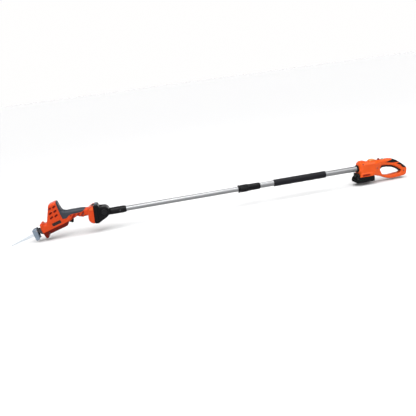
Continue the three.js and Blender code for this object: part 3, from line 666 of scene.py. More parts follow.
def saw_envelope(x, y, z):
    across = np.abs(y)
    turned_under = np.interp(z, [BARREL_LOW, TUCK_FROM, TUCK_FROM + 1], [TUCK, 0, 0])
    body = both(BARREL_SIDE(x, z), across - np.minimum(saw_width(x), 26.5) + turned_under, 9)
    handle = both(HANDLE_SIDE(x, z), across - 19, 12)
    flange = both(FLANGE_SIDE(x, z), across - saw_width(x) + 0.7 * turned_under, 7)
    shape = either(either(body, flange, 3), handle, 8)
    ridge = both(np.hypot(x - np.clip(x, 8, 78), z - BARREL_H) - 3.4, across - 5, 2)
    return either(shape, ridge, 2)


def in_dock(x, z):
    """Saw coordinates in the dock's frame."""
    m = SAW_TO_DOCK
    return m[0][0] * x + m[0][2] * z + m[0][3], m[2][0] * x + m[2][2] * z + m[2][3]


def saw_base(x, y, z, inward=0.0):
    u, v = in_dock(x, z)
    return both(BASE_SIDE(u, v), np.abs(y) - DOCK_HALF, 6) + inward


def dock_channel(x, y, z):
    u, v = in_dock(x, z)
    bottom = DOCK_RAIL[0] - 3
    neck = block(u, y, v, (-RAIL["lip"] - 1, -RAIL["neck"] - 0.5, bottom), (5, RAIL["neck"] + 0.5, 80), 1)
    low = (-RAIL["depth"] - 0.5, -RAIL["head"] - 0.5, bottom)
    return either(neck, block(u, y, v, low, (-RAIL["lip"] + 0.2, RAIL["head"] + 0.5, 80), 1))


VENT = {"rows": 3, "first": (60, 36), "step": (6, 21), "size": (17, 9), "spacing": 23, "slant": 0.25}
VENT_DEPTH = 1.8


def vents(x, z):
    """Rows of slanted recesses on the sides of the tall part."""
    field = 1e3
    for row in range(VENT["rows"]):
        for k in range(2):
            s = VENT["first"][0] + VENT["step"][0] * row + VENT["spacing"] * k
            h = VENT["first"][1] + VENT["step"][1] * row
            long, tall = VENT["size"]
            lean = (z - h) - VENT["slant"] * (x - s)
            field = np.minimum(field, both(slab(x, s, s + long), slab(lean, 0, tall), 3.5))
    return field


def vent_slits(x, z):
    """Narrow slits through the floor of each recess."""
    lean = z - VENT["slant"] * x
    slit = np.abs(lean % 5.0 - 2.5) - 0.3
    return both(vents(x, z) + 1.6, slit)


BADGE_BOX = ((54, 1), (99, 16.5))
SAW_SCREWS = ((24, -19, 26.5), (205, -8, 19))
HOLLOWS = {"from": 146, "to": 214, "pitch": 27, "width": 17, "depth": 1.2, "slope": 1.28, "offset": 8}


def badge(x, z):
    (x0, z0), (x1, z1) = BADGE_BOX
    return both(slab(x, x0, x1), slab(z, z0, z1), 3)


def finger_hollows(x, z):
    """Broad slanted hollows for the fingers, below the soft grip."""
    pitch = HOLLOWS["pitch"]
    phase = (x - HOLLOWS["slope"] * z - HOLLOWS["offset"]) % pitch
    hollow = (np.abs(phase - pitch / 2) - HOLLOWS["width"] / 2) * 0.62
    span = slab(x, HOLLOWS["from"], HOLLOWS["to"])
    return both(both(hollow, span, 2), 2.5 - GRIP_SIDE(x, z), 1)


def saw_shell(x, y, z):
    envelope = saw_envelope(x, y, z)
    grip = GRIP_SIDE(x, z)
    across = np.abs(y)
    body = less(envelope, both(grip - GAP, -(envelope + 2.6)), 0.4)
    body = either(body, saw_base(x, y, z), 3)
    body = less(body, both(badge(x, z), saw_width(x) - 1.2 - across), 0.6)
    body = less(body, both(finger_hollows(x, z), -(envelope + HOLLOWS["depth"])), 0.8)
    body = less(body, both(vents(x, z), saw_width(x) - VENT_DEPTH - across), 0.8)
    cavity = both(envelope + WALL + 2.9 * blend_step(-grip, -4, 0), x - 238)
    base_room = saw_base(x, y, z, WALL)
    u, _ = in_dock(x, z)
    body = less(body, either(cavity, both(base_room, u + RAIL["depth"] + 3)))
    body = less(body, dock_channel(x, y, z), 0.3)
    body = less(body, both(vent_slits(x, z), 8 - across), 0.3)
    body = less(body, both(radius(y, z) - 12, x - 8), 0.5)
    body = less(body, block(x, y, z, (124.5, -8, -40), (157, 8, 1), 1), 0.5)
    for screw in SAW_SCREWS:
        body = less(body, screw_pocket(x, y, z, screw), 0.5)
    return body


def saw_shell_paint(x, y, z):
    """Faces to materials: 0 plain, 1 badge and foot rim, 2 recesses and the facet's outline in painted shade, 3
    foot facet as a painted highlight, 4 underside in painted shade.
    """
    across = np.abs(y)
    u, v = in_dock(x, z)
    facet = BASE_FACET(u, v)
    index = np.zeros(x.shape)
    # Painted shade on the underside of the barrel, below the ridge.
    index[(z < TUCK_FROM - 1) & (x < 126) & (across > 3)] = 4
    index[(badge(x, z) < -0.4) & (across > 20)] = 1
    # Painted shade in the finger hollows and the vents.
    index[(finger_hollows(x, z) < 0.1) & (across > 6)] = 2
    index[(vents(x, z) < 0.4) & (across > 8)] = 2
    # Painted highlight on the foot facet.
    index[(facet < 0) & (across > 20)] = 3
    # Painted shade along the outline of the foot facet.
    index[(np.abs(facet - 0.7) < 0.9) & (across > 20)] = 2
    index[(np.abs(u) < 2.2) & (across > 26)] = 1
    return index


def saw_grip(x, y, z):
    envelope = saw_envelope(x, y, z)
    skin = both(envelope - 0.5, -(envelope + 2.3))
    dimples = 0.35 * np.cos(x * 1.4) * np.cos(z * 1.4) * blend_step(-GRIP_SIDE(x, z), 3, 6)
    return both(skin + dimples * (z < 60), GRIP_SIDE(x, z), 1.2)


TRIGGER_SIDE = Outline(
    [(127, -6), (127.5, -15), (131, -19.5), (139, -26), (144, -25), (150, -15), (153, -6)], 2
)


def saw_trigger(x, y, z):
    body = both(TRIGGER_SIDE(x, z), np.abs(y) - 7, 1.8)
    return less(body, both(grooves(y + 7, 3.5, 0.5), -(body + 0.5)), 0.3)


def build_saw():
    names = ("saw_shell_left", "saw_shell_right")
    paints = [SLOT_PAINT["orange_plastic"], BADGE, ORANGE_RECESS_SHADE, ORANGE_FACET_HIGHLIGHT, ORANGE_UNDERSIDE_SHADE]
    moulded_halves(names, "saw", "orange_plastic", SAW, saw_shell, 0.5, paints, saw_shell_paint)
    moulded("saw_grip", "saw", "grip_rubber", SAW, saw_grip, FINE)
    moulded("saw_trigger", "saw_trigger", "black_plastic", SAW, saw_trigger, SMALL)
    build_shoe()
    build_blade()
    build_nose()


# ---- blade, shoe and nose ----

SHOE_PIVOT = (-27, 15)
SHOE_PIN_R = 2.3
SHOE_HALF = 18
SHOE_SIDE = Outline([(-52, -26), (-49, -30), (-32, -30), (-22, 22), (-25, 24.5), (-46, 24.5)], 2.5)
BRACKET_SIDE = Outline([(-31, 9), (-26, 9), (-14, -10), (-8.3, -14), (-5, 13), (-24, 19), (-29, 19)], 2)


def shoe(x, y, z):
    px, pz = SHOE_PIVOT
    body = both(SHOE_SIDE(x, z), np.abs(y) - SHOE_HALF, 2.2)
    front = np.interp(z, [-30, 24.5], [-52, -46]) + 2
    body = less(body, both(both(front - x, z - 22.5), np.abs(y) - SHOE_HALF + 2, 1.5))
    body = less(body, block(x, y, z, (-60, -4.5, -20), (-40, 4.5, 12), 2), 0.4)
    window = both(both(slab(x, -41, -33), slab(z, -20, 2), 3), 12 - np.abs(y))
    body = less(body, both(window, SHOE_HALF - 0.7 - np.abs(y)), 0.3)
    return less(body, np.hypot(x - px, z - pz) - SHOE_PIN_R)


def shoe_bracket(x, y, z):
    px, pz = SHOE_PIVOT
    body = both(BRACKET_SIDE(x, z), np.abs(y) - 15.3, 1.5)
    body = less(body, block(x, y, z, (-40, -13.5, -40), (-10.2, 13.5, 40), 1))
    body = less(body, both(radius(y, z) - 12, x))
    return less(body, np.hypot(x - px, z - pz) - SHOE_PIN_R)


def build_shoe():
    moulded("shoe", "shoe", "shoe_steel", SAW, shoe, SMALL)
    moulded("shoe_bracket", "saw", "steel", SAW, shoe_bracket, SMALL, [DARK_STEEL])


BLADE_TIP = (-175, -2)
BLADE_HEEL = (-42, -11)
BLADE_HALF = 0.65
BLADE_TOP = 7.5
SPINE = [(BLADE_TIP[0] + 2, -0.6), (-160, 1.7), (-110, 5), (-60, BLADE_TOP)]
TEETH = 34
TOOTH = ((0, 0.0), (0.12, 0.3), (0.55, 2.3), (0.8, 1.6))  # share of the pitch, rise of the edge
TOOTH_SET = 0.35
SHANK = [(-42, -11), (-35, -4.5), (-21, -4.5), (-21, 4.5), (-35, 4.5), (-40, 7.5), (-42.0, 7.5)]


def blade_stations():
    """Sections from heel to tip: place, cutting edge, start of the bevel, spine, lean of the tooth."""
    stations = [(i, share, rise) for i in range(TEETH) for share, rise in TOOTH] + [(TEETH, 0, 0.0)]
    end = (BLADE_TIP[0] + 8, -5)
    rows = []
    for i, share, rise in stations:
        t = (i + share) / TEETH
        x = BLADE_HEEL[0] + (end[0] - BLADE_HEEL[0]) * t
        low = BLADE_HEEL[1] + (end[1] - BLADE_HEEL[1]) * t
        top = np.interp(x, *zip(*SPINE))
        depth = 2.3 + 1.2 * (1 - t)
        lean = TOOTH_SET * (1 if i % 2 else -1) * (1 - rise / 2.3)
        rows.append((x, low + rise, low + depth + 1.2, top, lean))
    rows.append((BLADE_TIP[0] + 3, -3.0, -2.4, -0.7, 0.0))
    rows.append((BLADE_TIP[0], BLADE_TIP[1] - 0.2, BLADE_TIP[1], BLADE_TIP[1] + 0.2, 0.0))
    return rows


def build_blade():
    """A tapering blade: ground flanks, gullets and teeth set to alternate sides, on a flat shank."""
    rows = blade_stations()
    half = BLADE_HALF
    vertices = []
    for x, edge, bevel, top, lean in rows:
        bevel = min(bevel, top - 0.3)
        vertices += [(x, lean - 0.12, edge), (x, -half, bevel), (x, -half, top - 0.2), (x, -half + 0.25, top)]
        vertices += [(x, half - 0.25, top), (x, half, top - 0.2), (x, half, bevel), (x, lean + 0.12, edge)]
    faces = ring_faces(len(rows), 8, False)
    faces.append(tuple(range(7, -1, -1)))
    base = len(vertices)
    faces.append(tuple(range(base - 8, base)))
    vertices += [(x, -half, z) for x, z in SHANK] + [(x, half, z) for x, z in SHANK]
    count = len(SHANK)
    faces.append(tuple(range(base, base + count)))
    faces.append(tuple(range(base + 2 * count - 1, base + count - 1, -1)))
    faces += [(base + b, base + a, base + d, base + c) for a, b, c, d in ring_faces(2, count, False)]
    piece = new_piece("blade", vertices, faces, SAW, [SLOT_PAINT["blade_steel"]], 25)
    fit_in(piece, "blade", "plunger")


def plunger(x, y, z):
    rod = both(radius(y, z) - 6, slab(x, -34, 104), 0.8)
    rod = less(rod, block(x, y, z, (52, -20, 3.5), (90, 20, 20)))
    yoke = block(x, y, z, (62, -17, -5), (80, 17, 3.5), 1.2)
    body = less(either(rod, yoke), block(x, y, z, (67.5, -11.5, -20), (74.5, 11.5, 20), 1))
    return less(body, block(x, y, z, (-40, -1, -20), (-20, 1, 20)))


def clamp_collar(x, y, z):
    angle = np.arctan2(z, y)
    lugs = 1.5 * np.cos(6 * angle) ** 3
    body = both(radius(y, z) - 9.2 - np.maximum(lugs, 0), slab(x, -32, -23), 1)
    return less(body, radius(y, z) - 6.3)


def plunger_boot_profile():
    """Bellows: rings between the nose and the plunger."""
    bore = 6.5
    folds = []
    for k in range(3):
        x = -13.5 + 3.6 * k
        folds += [(x - 1.2, 9.4), (x, 11.3), (x + 1.2, 9.4)]
    return [(-15, bore), (-15, 9), *folds, (-2, 9.4), (0, 11.5), (4, 11.5), (4, bore)]


def build_nose():
    moulded("plunger", "plunger", "steel", SAW, plunger, FINE)
    moulded("clamp_collar", "blade_clamp", "black_plastic", SAW, clamp_collar, SMALL)
    profile = round_corners(plunger_boot_profile(), 0.8, 3)
    turned("plunger_boot", "saw", "grip_rubber", SAW, profile, 48)


# ---- pivoting head ----

KNUCKLE_R = 26
CHEEK_HALF = 27
CHEEK_IN = 12.8
BUTTON_R = 13.5
HEAD_SIDE = Outline(
    [(GAP, -49), (18, -50), (59, -23), (67, -14.5), *arc(*KNUCKLE, KNUCKLE_R, -15, 90, 12),
     (26, 30), (22.5, 32), (20.5, 38), (16, 42), (GAP, 42)],
    2,
)
HOLLOW_SIDE = Outline([(4, -45), (13, -45), (17, -41), (17, 30), (14, 37), (4, 37)], 2)
RELEASE_Z = 38  # underside of the release button


def to_pivot(x, z):
    return np.hypot(x - KNUCKLE[0], z - KNUCKLE[1])


def head_width(x):
    return np.interp(x, [-20, 10, 24, 80], [DOCK_HALF, DOCK_HALF, CHEEK_HALF, CHEEK_HALF])


def head_body(x, y, z):
    across = np.abs(y)
    from_pivot = to_pivot(x, z)
    body = both(HEAD_SIDE(x, z), across - head_width(x), 3.5)
    rim = both(both(from_pivot - KNUCKLE_R + 2.2, 18.8 - from_pivot, 1), CHEEK_HALF - 1.1 - across)
    body = less(body, rim, 0.5)
    side_ledge = both(both(slab(x, 3, 16), slab(z, -42, 34), 3), DOCK_HALF - 1.0 - across)
    body = less(body, side_ledge, 0.6)
    swing = either(from_pivot - KNUCKLE_R - 1, both(KNUCKLE[0] - x, slab(z, -70, 40)))
    swing = either(swing, both(24 - x, 10 - z))
    swing = either(swing, both(30 - x, z + 10))
    body = less(body, both(swing, across - CHEEK_IN), 0.8)
    body = less(body, both(HOLLOW_SIDE(x, z), across - DOCK_HALF + 4))
    low, high = DOCK_RAIL
    neck = block(x, y, z, (-RAIL["depth"], -RAIL["neck"], low), (1, RAIL["neck"], high), 0.8)
    end = (-RAIL["lip"] - 0.3, RAIL["head"], high)
    body = either(either(body, neck), block(x, y, z, (-RAIL["depth"], -RAIL["head"], low), end, 0.8))
    body = less(body, block(x, y, z, (2.5, -11.5, RELEASE_Z - 4), (13.5, 11.5, 60), 0.6), 0.3)
    body = less(body, from_pivot - 5.3)
    body = less(body, both(from_pivot - BUTTON_R - GAP, y + 17), 0.3)
    return less(body, both(from_pivot - 9.6, 20.5 - y), 0.3)


def pivot_button(x, y, z):
    r = to_pivot(x, z)
    body = both(r - BUTTON_R, slab(y, -30, -22), 1.4)
    body = less(body, both(np.abs(r - 9.4) - 0.7, y + 29.2), 0.3)
    cross = np.minimum(np.abs(x - KNUCKLE[0]), np.abs(z - KNUCKLE[1])) - 0.8
    return less(body, both(both(cross, r - 7), y + 29.3), 0.3)


def pivot_bolt(x, y, z):
    r = to_pivot(x, z)
    body = either(both(r - 5, slab(y, -16.7, 24)), both(r - 9.2, slab(y, 20.8, 26), 1.2))
    angle = np.arctan2(z - KNUCKLE[1], x - KNUCKLE[0])
    socket = r * np.cos((angle + math.pi / 6) % (math.pi / 3) - math.pi / 6) - 3
    return less(body, both(socket, 23 - y), 0.2)


def dock_release(x, y, z):
    top = RELEASE_Z + 6.5
    body = both(both(slab(x, 3, 13), np.abs(y) - 11, 1.5), slab(z, RELEASE_Z, top), 1.2)
    ribs = grooves(y + 11, 3.0, 0.5)
    return less(body, both(ribs, top - 0.7 - z), 0.3)


def build_head():
    names = ("adapter_left", "adapter_right")
    moulded_halves(names, "head", "black_plastic", DOCK, head_body, 0.4)
    moulded("pivot_button", "pivot_button", "grip_rubber", DOCK, pivot_button, SMALL, [DARK_RUBBER])
    moulded("pivot_bolt", "head", "steel", DOCK, pivot_bolt, SMALL)
    # The release button's slate is partly a painted highlight on the adapter's top.
    moulded("dock_release", "dock_release", "steel", DOCK, dock_release, SMALL, [SLATE_AND_HIGHLIGHT])


# ---- pole ----

OUTER_R = 14.25
OUTER_BORE = 12.85
OUTER_SPAN = (118, 800)
INNER_R = 12.5
INNER_BORE = 11
INNER_SPAN = (-534, 275)
COLLAR = {"from": 102, "to": 156, "r": 19.5, "ribs": 18}
SLEEVE = {"from": 156.8, "to": 218, "r": 17.5}
FOAM_SPAN = (291, 575)
FOAM_R = 18.5
FOAM_ROLL = 3.2  # radius of its rolled ends
SOCKET = {"from": -543, "to": -467, "r": 17.5}
SOCKET_SCREW_X = -497


def tube(name, body, bore, r, low, high):
    lip = 0.5
    profile = [(low, bore), (low, r - lip), (low + lip, r), (high - lip, r), (high, r - lip), (high, bore)]
    turned(name, body, "tube_aluminium", POLE, profile, 96)


def lock_collar(x, y, z):
    """Twist collar: a flared lip in front, then finger ribs round the barrel."""
    low, high, r = COLLAR["from"], COLLAR["to"], COLLAR["r"]
    stations = [low, low + 2, low + 7, low + 9, high - 5, high]
    outer = np.interp(x, stations, [r, r + 0.5, r + 0.4, r - 1.2, r - 0.8, r - 1.4])
    angle = np.arctan2(z, y)
    ribs = 0.9 * np.cos(COLLAR["ribs"] * angle) * blend_step(x, low + 10, low + 14)
    ribs = ribs * blend_step(-x, -(high - 4), -(high - 9))
    rod = both(radius(y, z) - outer - ribs, slab(x, low, high), 1)
    bore = np.interp(x, [low + 3.4, low + 3.6, 118, 118.2], [13, 15.6, 15.6, OUTER_R + 0.5])
    return less(rod, radius(y, z) - bore)


def lock_sleeve(x, y, z):
    low, high, r = SLEEVE["from"], SLEEVE["to"], SLEEVE["r"]
    outer = np.interp(x, [low, low + 4, low + 5, high - 8, high], [r + 0.8, r + 0.8, r, r, r - 2.2])
    angle = np.arctan2(z, y)
    flats = 0.5 * np.maximum(np.cos(2 * angle), 0) * blend_step(x, low + 8, low + 14)
    flats = flats * blend_step(-x, -(high - 10), -(high - 16))
    rings = 0.5 * (np.abs(((x - low - 12) / 5) % 1 - 0.5) < 0.18) * (np.abs(x - low - 26) < 13)
    body = both(radius(y, z) - outer + flats + rings, slab(x, low, high), 0.8)
    return less(body, radius(y, z) - OUTER_R - GAP)


def foam_grip():
    """Foam sleeve: rolled ends, and a skin that swells and dips slightly along its length."""
    low, high = FOAM_SPAN
    sides, rows = 96, 190
    bore = OUTER_R + GAP
    vertices = []
    for i in range(rows + 1):
        x = low + (high - low) * i / rows
        end = min(x - low, high - x)
        roll = FOAM_ROLL * (1 - math.sqrt(max(0.0, 1 - (1 - min(1, end / FOAM_ROLL)) ** 2)))
        for k in range(sides):
            a = 2 * math.pi * k / sides
            wave = 0.22 * math.sin(x * 0.11 + 2 * math.sin(a)) + 0.12 * math.sin(x * 0.37 + 3 * a)
            r = FOAM_R - 0.45 - roll + wave * min(1, end / 6)
            vertices.append((x, r * math.cos(a), r * math.sin(a)))
    for x in (high, low):
        for k in range(sides):
            a = 2 * math.pi * k / sides
            vertices.append((x, bore * math.cos(a), bore * math.sin(a)))
    faces = ring_faces(rows + 3, sides, True)
    piece = new_piece("foam_grip", vertices, faces, POLE, [SLOT_PAINT["foam"]], 50)
    fit_in(piece, "foam_grip", "pole")


def pole_socket(x, y, z):
    low, high, r = SOCKET["from"], SOCKET["to"], SOCKET["r"]
    outer = np.interp(x, [low, high - 12, high - 3, high], [r, r, r - 1.8, r - 2.6])
    body = both(radius(y, z) - outer, slab(x, low, high), 1.2)
    fins = np.minimum(np.abs(y), np.abs(z)) - 1.1
    body = either(body, both(both(fins, radius(y, z) - r - 0.5), slab(x, low + 8, high - 18), 1), 1)
    pivot = POLE.inverted() @ (DOCK @ Vector((KNUCKLE[0], 0, KNUCKLE[1])))
    from_pivot = np.hypot(x - pivot.x, z - pivot.z)
    half = CHEEK_IN - 0.5
    tongue = both(from_pivot - KNUCKLE_R, np.abs(y) - half, 1.2)
    arm = block(x, y, z, (pivot.x, -half, -14), (low + 1, half, 16), 1.2)
    body = either(either(body, arm, 2), tongue)
    body = less(body, both(radius(y, z) - INNER_R - GAP, low + 9 - GAP - x))
    body = less(body, both(np.hypot(x - SOCKET_SCREW_X, z) - 4, y + 15.5))
    body = less(body, np.hypot(x - SOCKET_SCREW_X, z) - 2.3)
    return less(body, from_pivot - 5.3)


def build_pole():
    tube("outer_tube", "pole", OUTER_BORE, OUTER_R, *OUTER_SPAN)
    tube("inner_tube", "inner_pole", INNER_BORE, INNER_R, *INNER_SPAN)
    moulded("lock_collar", "lock_collar", "black_plastic", POLE, lock_collar, FINE)
    moulded("lock_sleeve", "pole", "black_plastic", POLE, lock_sleeve, FINE)
    moulded("pole_socket", "inner_pole", "black_plastic", POLE, pole_socket, FINE)
    foam_grip()


# ---- rear handle ----

FOOT_Z = -43.7
REAR_BACK = 287
REAR_SIDE = Outline(
    [(5, -18), (9, -22), (3, FOOT_Z), (87, FOOT_Z), (105, -51), (127, -58), (154, -71), (179, -79),
     (204, -81), (240, -79), *arc(268, -60, 15, 285, 350, 3), (REAR_BACK, -44), (284, -34), (252, -8),
     (224, 13), (200, 25), (180, 29.5), (108, 29.5), (14, 31), (10, 30), (5, 18)],
    5,
)
LOOP_SIDE = Outline(
    [(126, -22), (137, -47), (149, -55), (179, -60), (230, -56), *arc(236, -46, 11, 300, 380, 3), (225, -25),
     (195, -9.5), (160, -3), (135, -1), (130, -8)],
    6,
)
FRONT_HUMP = Outline([(9, 28), (12, 38), (40, 38.5), (47, 32), (47, 26)], 4)
BACK_HUMP = Outline([(64, 28), (70, 36), (78, 39.5), (96, 39.5), (109, 30)], 4)
FOOT_SIDE = Outline([(9, -24), (3, FOOT_Z), (87, FOOT_Z), (87, -30), (80, -24)], 1.5)
FOOT_HALF = 33
LOCKOFF = {"x": (120.5, 129.5), "half": 5, "z": (19, 38)}
LENS_BOX = {"x": (141, 153), "half": 4.5, "z": (27.5, 34)}
REAR_SCREWS = ((24, 24, 30), (104, -8, 26.5), (262, -48, 18))
PAD_FINGERS = [
    Outline(
        [(157, 13.5), (182, 8), (205, 5), (228, 5), (244, -2), (250, 10), (215, 34), (200, 34), (194, 22)], 3
    ),
    Outline([(219, -3), (239, -12), (256, -18), (268, -14), (250, 4), (238, 0)], 3),
    Outline([(242, -18), (255, -27), (270, -33), (286, -28), (268, -10), (258, -18)], 3),
]
PAD_TOP = (200, 274)  # the strip along the top that joins the fingers
PAD_TOP_HALF = 9
PAD_DEPTH = 2.0
PAD_MARGIN = 27  # the fine pad reaches further along the loop than its CAD node


def rear_width(x):
    return np.interp(x, [0, 14, 92, 126, 150, 262, 280, 287], [24, 30, 30, 21, 18, 18, 14, 10])


def rear_envelope(x, y, z):
    across = np.abs(y)
    width = rear_width(x)
    side = less(REAR_SIDE(x, z), LOOP_SIDE(x, z))
    low = both(side, across - width, np.interp(x, [0, 20, 90, 150, 287], [7, 10, 10, 8, 8]))
    high = both(side, across - width, np.interp(x, [0, 20, 90, 150, 287], [9, 17, 17, 11, 9]))
    body = np.where(z > 0, high, low)
    body = either(body, both(FRONT_HUMP(x, z), across - 13, 4), 2)
    return either(body, both(BACK_HUMP(x, z), across - 13, 4), 2)


def battery_channel(x, y, z):
    """The room in the foot for the rail of the battery."""
    lip = FOOT_Z + RAIL["lip"]
    narrow, wide = RAIL["neck"] + 0.5, RAIL["head"] + 0.5
    neck = block(x, y, z, (-20, -narrow, FOOT_Z - 4), (84, narrow, lip + 1))
    return either(neck, block(x, y, z, (-20, -wide, lip), (84, wide, FOOT_Z + RAIL["depth"] + 0.5)))


def side_panel(x, z):
    lean = x + 0.25 * z
    return both(slab(lean, 24, 92), slab(z, -17, 15), 5)


def foot_window(x, z):
    return both(slab(x, 18, 60), slab(z, -40, -30), 3)


def pad_area(x, y, z):
    """The back of the loop: a strip along the top with three fingers down each side."""
    strip = both(both(slab(x, *PAD_TOP), np.abs(y) - PAD_TOP_HALF), -(REAR_SIDE(x, z) + 9))
    return np.minimum.reduce(np.broadcast_arrays(strip, *(finger(x, z) for finger in PAD_FINGERS)))


def rear_shell(x, y, z):
    across = np.abs(y)
    envelope = rear_envelope(x, y, z)
    foot = both(FOOT_SIDE(x, z), across - FOOT_HALF, 2.5)
    body = either(envelope, foot, 1.5)
    body = less(body, both(side_panel(x, z), rear_width(x) - 1.3 - across), 0.7)
    body = less(body, both(foot_window(x, z), FOOT_HALF - 1.2 - across), 0.5)
    pad = pad_area(x, y, z)
    body = less(body, both(pad - GAP, -(envelope + PAD_DEPTH)), 0.4)
    parting = both(np.abs(z - 0.30 * x + 38) - 0.7, both(96 - x, -(envelope + 0.8)))
    body = less(body, both(parting, x - 150), 0.5)
    cavity = both(envelope + WALL + 2.2 * blend_step(-pad, -4, 0), FOOT_Z + RAIL["depth"] + 3 - z)
    body = less(body, cavity)
    body = less(body, battery_channel(x, y, z), 0.3)
    body = less(body, both(radius(y, z) - OUTER_R - GAP, x - 52))
    body = less(body, block(x, y, z, (132, -8, -20), (203, 8, 14), 1), 0.4)
    (low, high), half = LOCKOFF["x"], LOCKOFF["half"] + 0.5
    body = less(body, block(x, y, z, (low - 0.5, -half, 20), (high + 0.5, half, 50), 0.5), 0.4)
    (low, high), half = LENS_BOX["x"], LENS_BOX["half"] + GAP
    body = less(body, block(x, y, z, (low - GAP, -half, 20), (high + GAP, half, 50), 0.3), 0.3)
    body = less(body, block(x, y, z, (20 - GAP, -14.3, -32), (62 + GAP, 14.3, -20)))
    for screw in REAR_SCREWS:
        body = less(body, screw_pocket(x, y, z, screw), 0.5)
    return body


def rear_shell_paint(x, y, z):
    """Faces to materials: 0 plain, 1 window in the foot in painted shade, 2 cap of the back hump."""
    across = np.abs(y)
    index = np.zeros(x.shape)
    # Painted shade in the window in the foot.
    index[(foot_window(x, z) < -0.3) & (across > FOOT_HALF - 4)] = 1
    index[(BACK_HUMP(x, z) < 0.2) & (z > 33.5)] = 2
    return index


def rear_grip_pad(x, y, z):
    envelope = rear_envelope(x, y, z)
    shell = both(envelope - 0.5, -(envelope + PAD_DEPTH - GAP))
    return both(shell, pad_area(x, y, z), 0.8)


LINER_HALF = 15
LINER_SIDE = Outline(
    [(130, -18), (138, -12), (160, -12), (193, -18.5), (222, -32.5), (238, -42), (239, -46), (255, -46),
     (230, -10), (165, 5), (125, 5), (120, -15)],
    2,
)


def loop_liner(x, y, z):
    body = both(both(LOOP_SIDE(x, z) + GAP, LINER_SIDE(x, z)), np.abs(y) - LINER_HALF, 2)
    return less(body, block(x, y, z, (131, -8, -40), (204, 8, 10), 1), 0.5)


REAR_TRIGGER_SIDE = Outline(
    [(136, -8), (150, -9.2), (168, -11), (188, -16.5), (199, -14.5), (197, -3), (136, 2)], 2.5
)


def rear_trigger(x, y, z):
    body = both(REAR_TRIGGER_SIDE(x, z), np.abs(y) - 7, 1.8)
    body = less(body, both(grooves(y + 7, 3.5, 0.5), -(body + 0.4)), 0.3)
    return less(body, np.hypot(x - 192, z + 8) - 2.3)


def lockoff_button(x, y, z):
    (low, high), half, (bottom, top) = LOCKOFF["x"], LOCKOFF["half"], LOCKOFF["z"]
    body = block(x, y, z, (low, -half, bottom), (high, half, top), 1.5)
    return less(body, both(grooves(x - low, 2.25, 0.35), top - 0.6 - z), 0.2)


def indicator_lens(x, y, z):
    (low, high), half, (bottom, top) = LENS_BOX["x"], LENS_BOX["half"], LENS_BOX["z"]
    lean = z + 0.12 * (x - low)
    return both(block(x, y, z, (low, -half, bottom), (high, half, top), 0.8), lean - top - 0.2, 0.5)


def nose_ring(x, y, z):
    outer = np.interp(x, [-2, 0, 4], [18.2, 20.5, 20.5])
    body = both(radius(y, z) - outer, slab(x, -2, 4.7), 0.8)
    return less(body, radius(y, z) - OUTER_R - GAP)


# ---- battery ----

BATTERY_Z = -72.5
BATTERY_SPLIT = -58
BATTERY_TOP = FOOT_Z - GAP
BATTERY_HALF = 35
HOOD_HALF = 21
LID_SIDE = Outline(
    [(-20, BATTERY_SPLIT - 6), (85, BATTERY_SPLIT - 6), (85, BATTERY_TOP), (1.5, BATTERY_TOP), (1.5, -24),
     (-1, -26), (-5, -37), (-12, -48), (-18, -55)],
    1.5,
)
CASE_SIDE = Outline(
    [(-12, BATTERY_Z), (83, BATTERY_Z), (85, BATTERY_Z + 2), (85, BATTERY_SPLIT + 6),
     (-20, BATTERY_SPLIT + 6), (-20, BATTERY_Z + 6)],
    2,
)
LATCH_SIDE = Outline([(-12, -43), (-6, -43), (-3, -32), (-6.5, -32)], 1.2)
LATCH_TRAVEL = 2.5


def battery_ribs(x, y, depth, low, high):
    """Upright grooves down the long sides."""
    return both(both(grooves(x - low, 6, 0.9), slab(x, low, high)), BATTERY_HALF - depth - np.abs(y))


def battery_sides(x, y):
    """The pack from above: straight sides and a blunt, tapered nose."""
    across = np.abs(y)
    nose = (across - 19) * 0.63 - (x + 21) * 0.78
    return both(across - BATTERY_HALF, nose, 4)


def battery_case(x, y, z):
    body = both(both(CASE_SIDE(x, z), battery_sides(x, y), 3), z - BATTERY_SPLIT)
    body = less(body, both(battery_ribs(x, y, 0.9, 14, 74), BATTERY_Z + 3 - z), 0.4)
    return less(body, block(x, y, z, (0.5, -32.7, BATTERY_Z + 2), (83, 32.7, -40)))


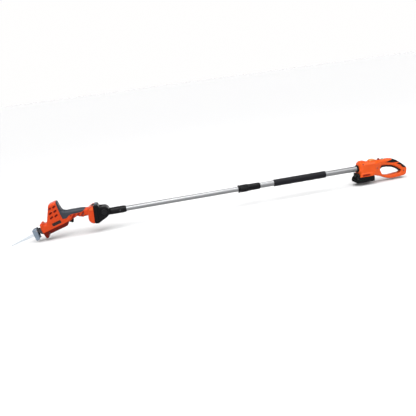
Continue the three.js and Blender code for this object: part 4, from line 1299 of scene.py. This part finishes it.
def battery_lid(x, y, z):
    hood_half = np.interp(z, [-58, -50, -36, -24], [BATTERY_HALF, 31, HOOD_HALF, 17])
    half = hood_half + (BATTERY_HALF - hood_half) * blend_step(x, -4, 0)
    sides = both(battery_sides(x, y), np.abs(y) - half, 3)
    low = BATTERY_SPLIT + GAP
    body = both(both(LID_SIDE(x, z), sides, 3), low - z)
    body = less(body, both(both(slab(z, -50, -48), slab(x, 6, 80)), BATTERY_HALF - 1 - np.abs(y)), 0.4)
    neck = block(x, y, z, (4, -RAIL["neck"], BATTERY_TOP - 1), (80, RAIL["neck"], FOOT_Z + RAIL["lip"] + 1))
    top = FOOT_Z + RAIL["depth"]
    tongue = block(x, y, z, (4, -RAIL["head"], FOOT_Z + RAIL["lip"] + 0.5), (80, RAIL["head"], top), 0.8)
    body = either(either(body, neck), tongue)
    for side in (-1, 1):
        for k in range(3):
            y0 = side * (6 + 6 * k)
            body = less(body, block(x, y, z, (30, y0 - 1, FOOT_Z + 8), (70, y0 + 1, top + 1)))
    body = less(body, block(x, y, z, (0.5, -32.7, low - 1), (83, 32.7, BATTERY_TOP - 2)))
    pocket = np.minimum(LATCH_SIDE(x, z), LATCH_SIDE(x - LATCH_TRAVEL, z)) - 0.7
    return less(body, both(pocket, np.abs(y) - 12.6), 0.3)


def battery_latch(x, y, z):
    body = both(LATCH_SIDE(x, z), np.abs(y) - 12, 1)
    ribs = grooves(z + 41, 2.5, 0.4)
    return less(body, both(both(ribs, np.abs(y) - 9), -(body + 0.7)), 0.2)


def build_rear():
    names = ("rear_housing_left", "rear_housing_right")
    paints = [ORANGE_REAR, ORANGE_RECESS_SHADE, OCHRE]
    moulded_halves(names, "pole", "orange_plastic", REAR, rear_shell, 0.5, paints, rear_shell_paint)
    dark = [DARK_RUBBER]
    moulded("rear_grip_pad", "pole", "grip_rubber", REAR, rear_grip_pad, FINE, dark, margin=PAD_MARGIN)
    moulded("loop_liner", "pole", "grip_rubber", REAR, loop_liner, FINE, dark)
    moulded("rear_trigger", "rear_trigger", "black_plastic", REAR, rear_trigger, SMALL)
    moulded("lockoff_button", "lockoff_button", "red_button", REAR, lockoff_button, TINY)
    moulded("indicator_lens", "pole", "indicator_lens", REAR, indicator_lens, TINY)
    moulded("nose_ring", "pole", "black_plastic", REAR, nose_ring, SMALL)
    moulded("battery_case", "battery", "black_plastic", REAR, battery_case, FINE)
    moulded("battery_lid", "battery", "black_plastic", REAR, battery_lid, FINE)
    moulded("battery_latch", "battery_latch", "grip_rubber", REAR, battery_latch, LATCH_STEP, dark)


# ---- the whole object ----

make_camera()
make_floor()
make_lights()
make_world()
dress_cad_nodes()
build_saw()
build_head()
build_pole()
build_rear()
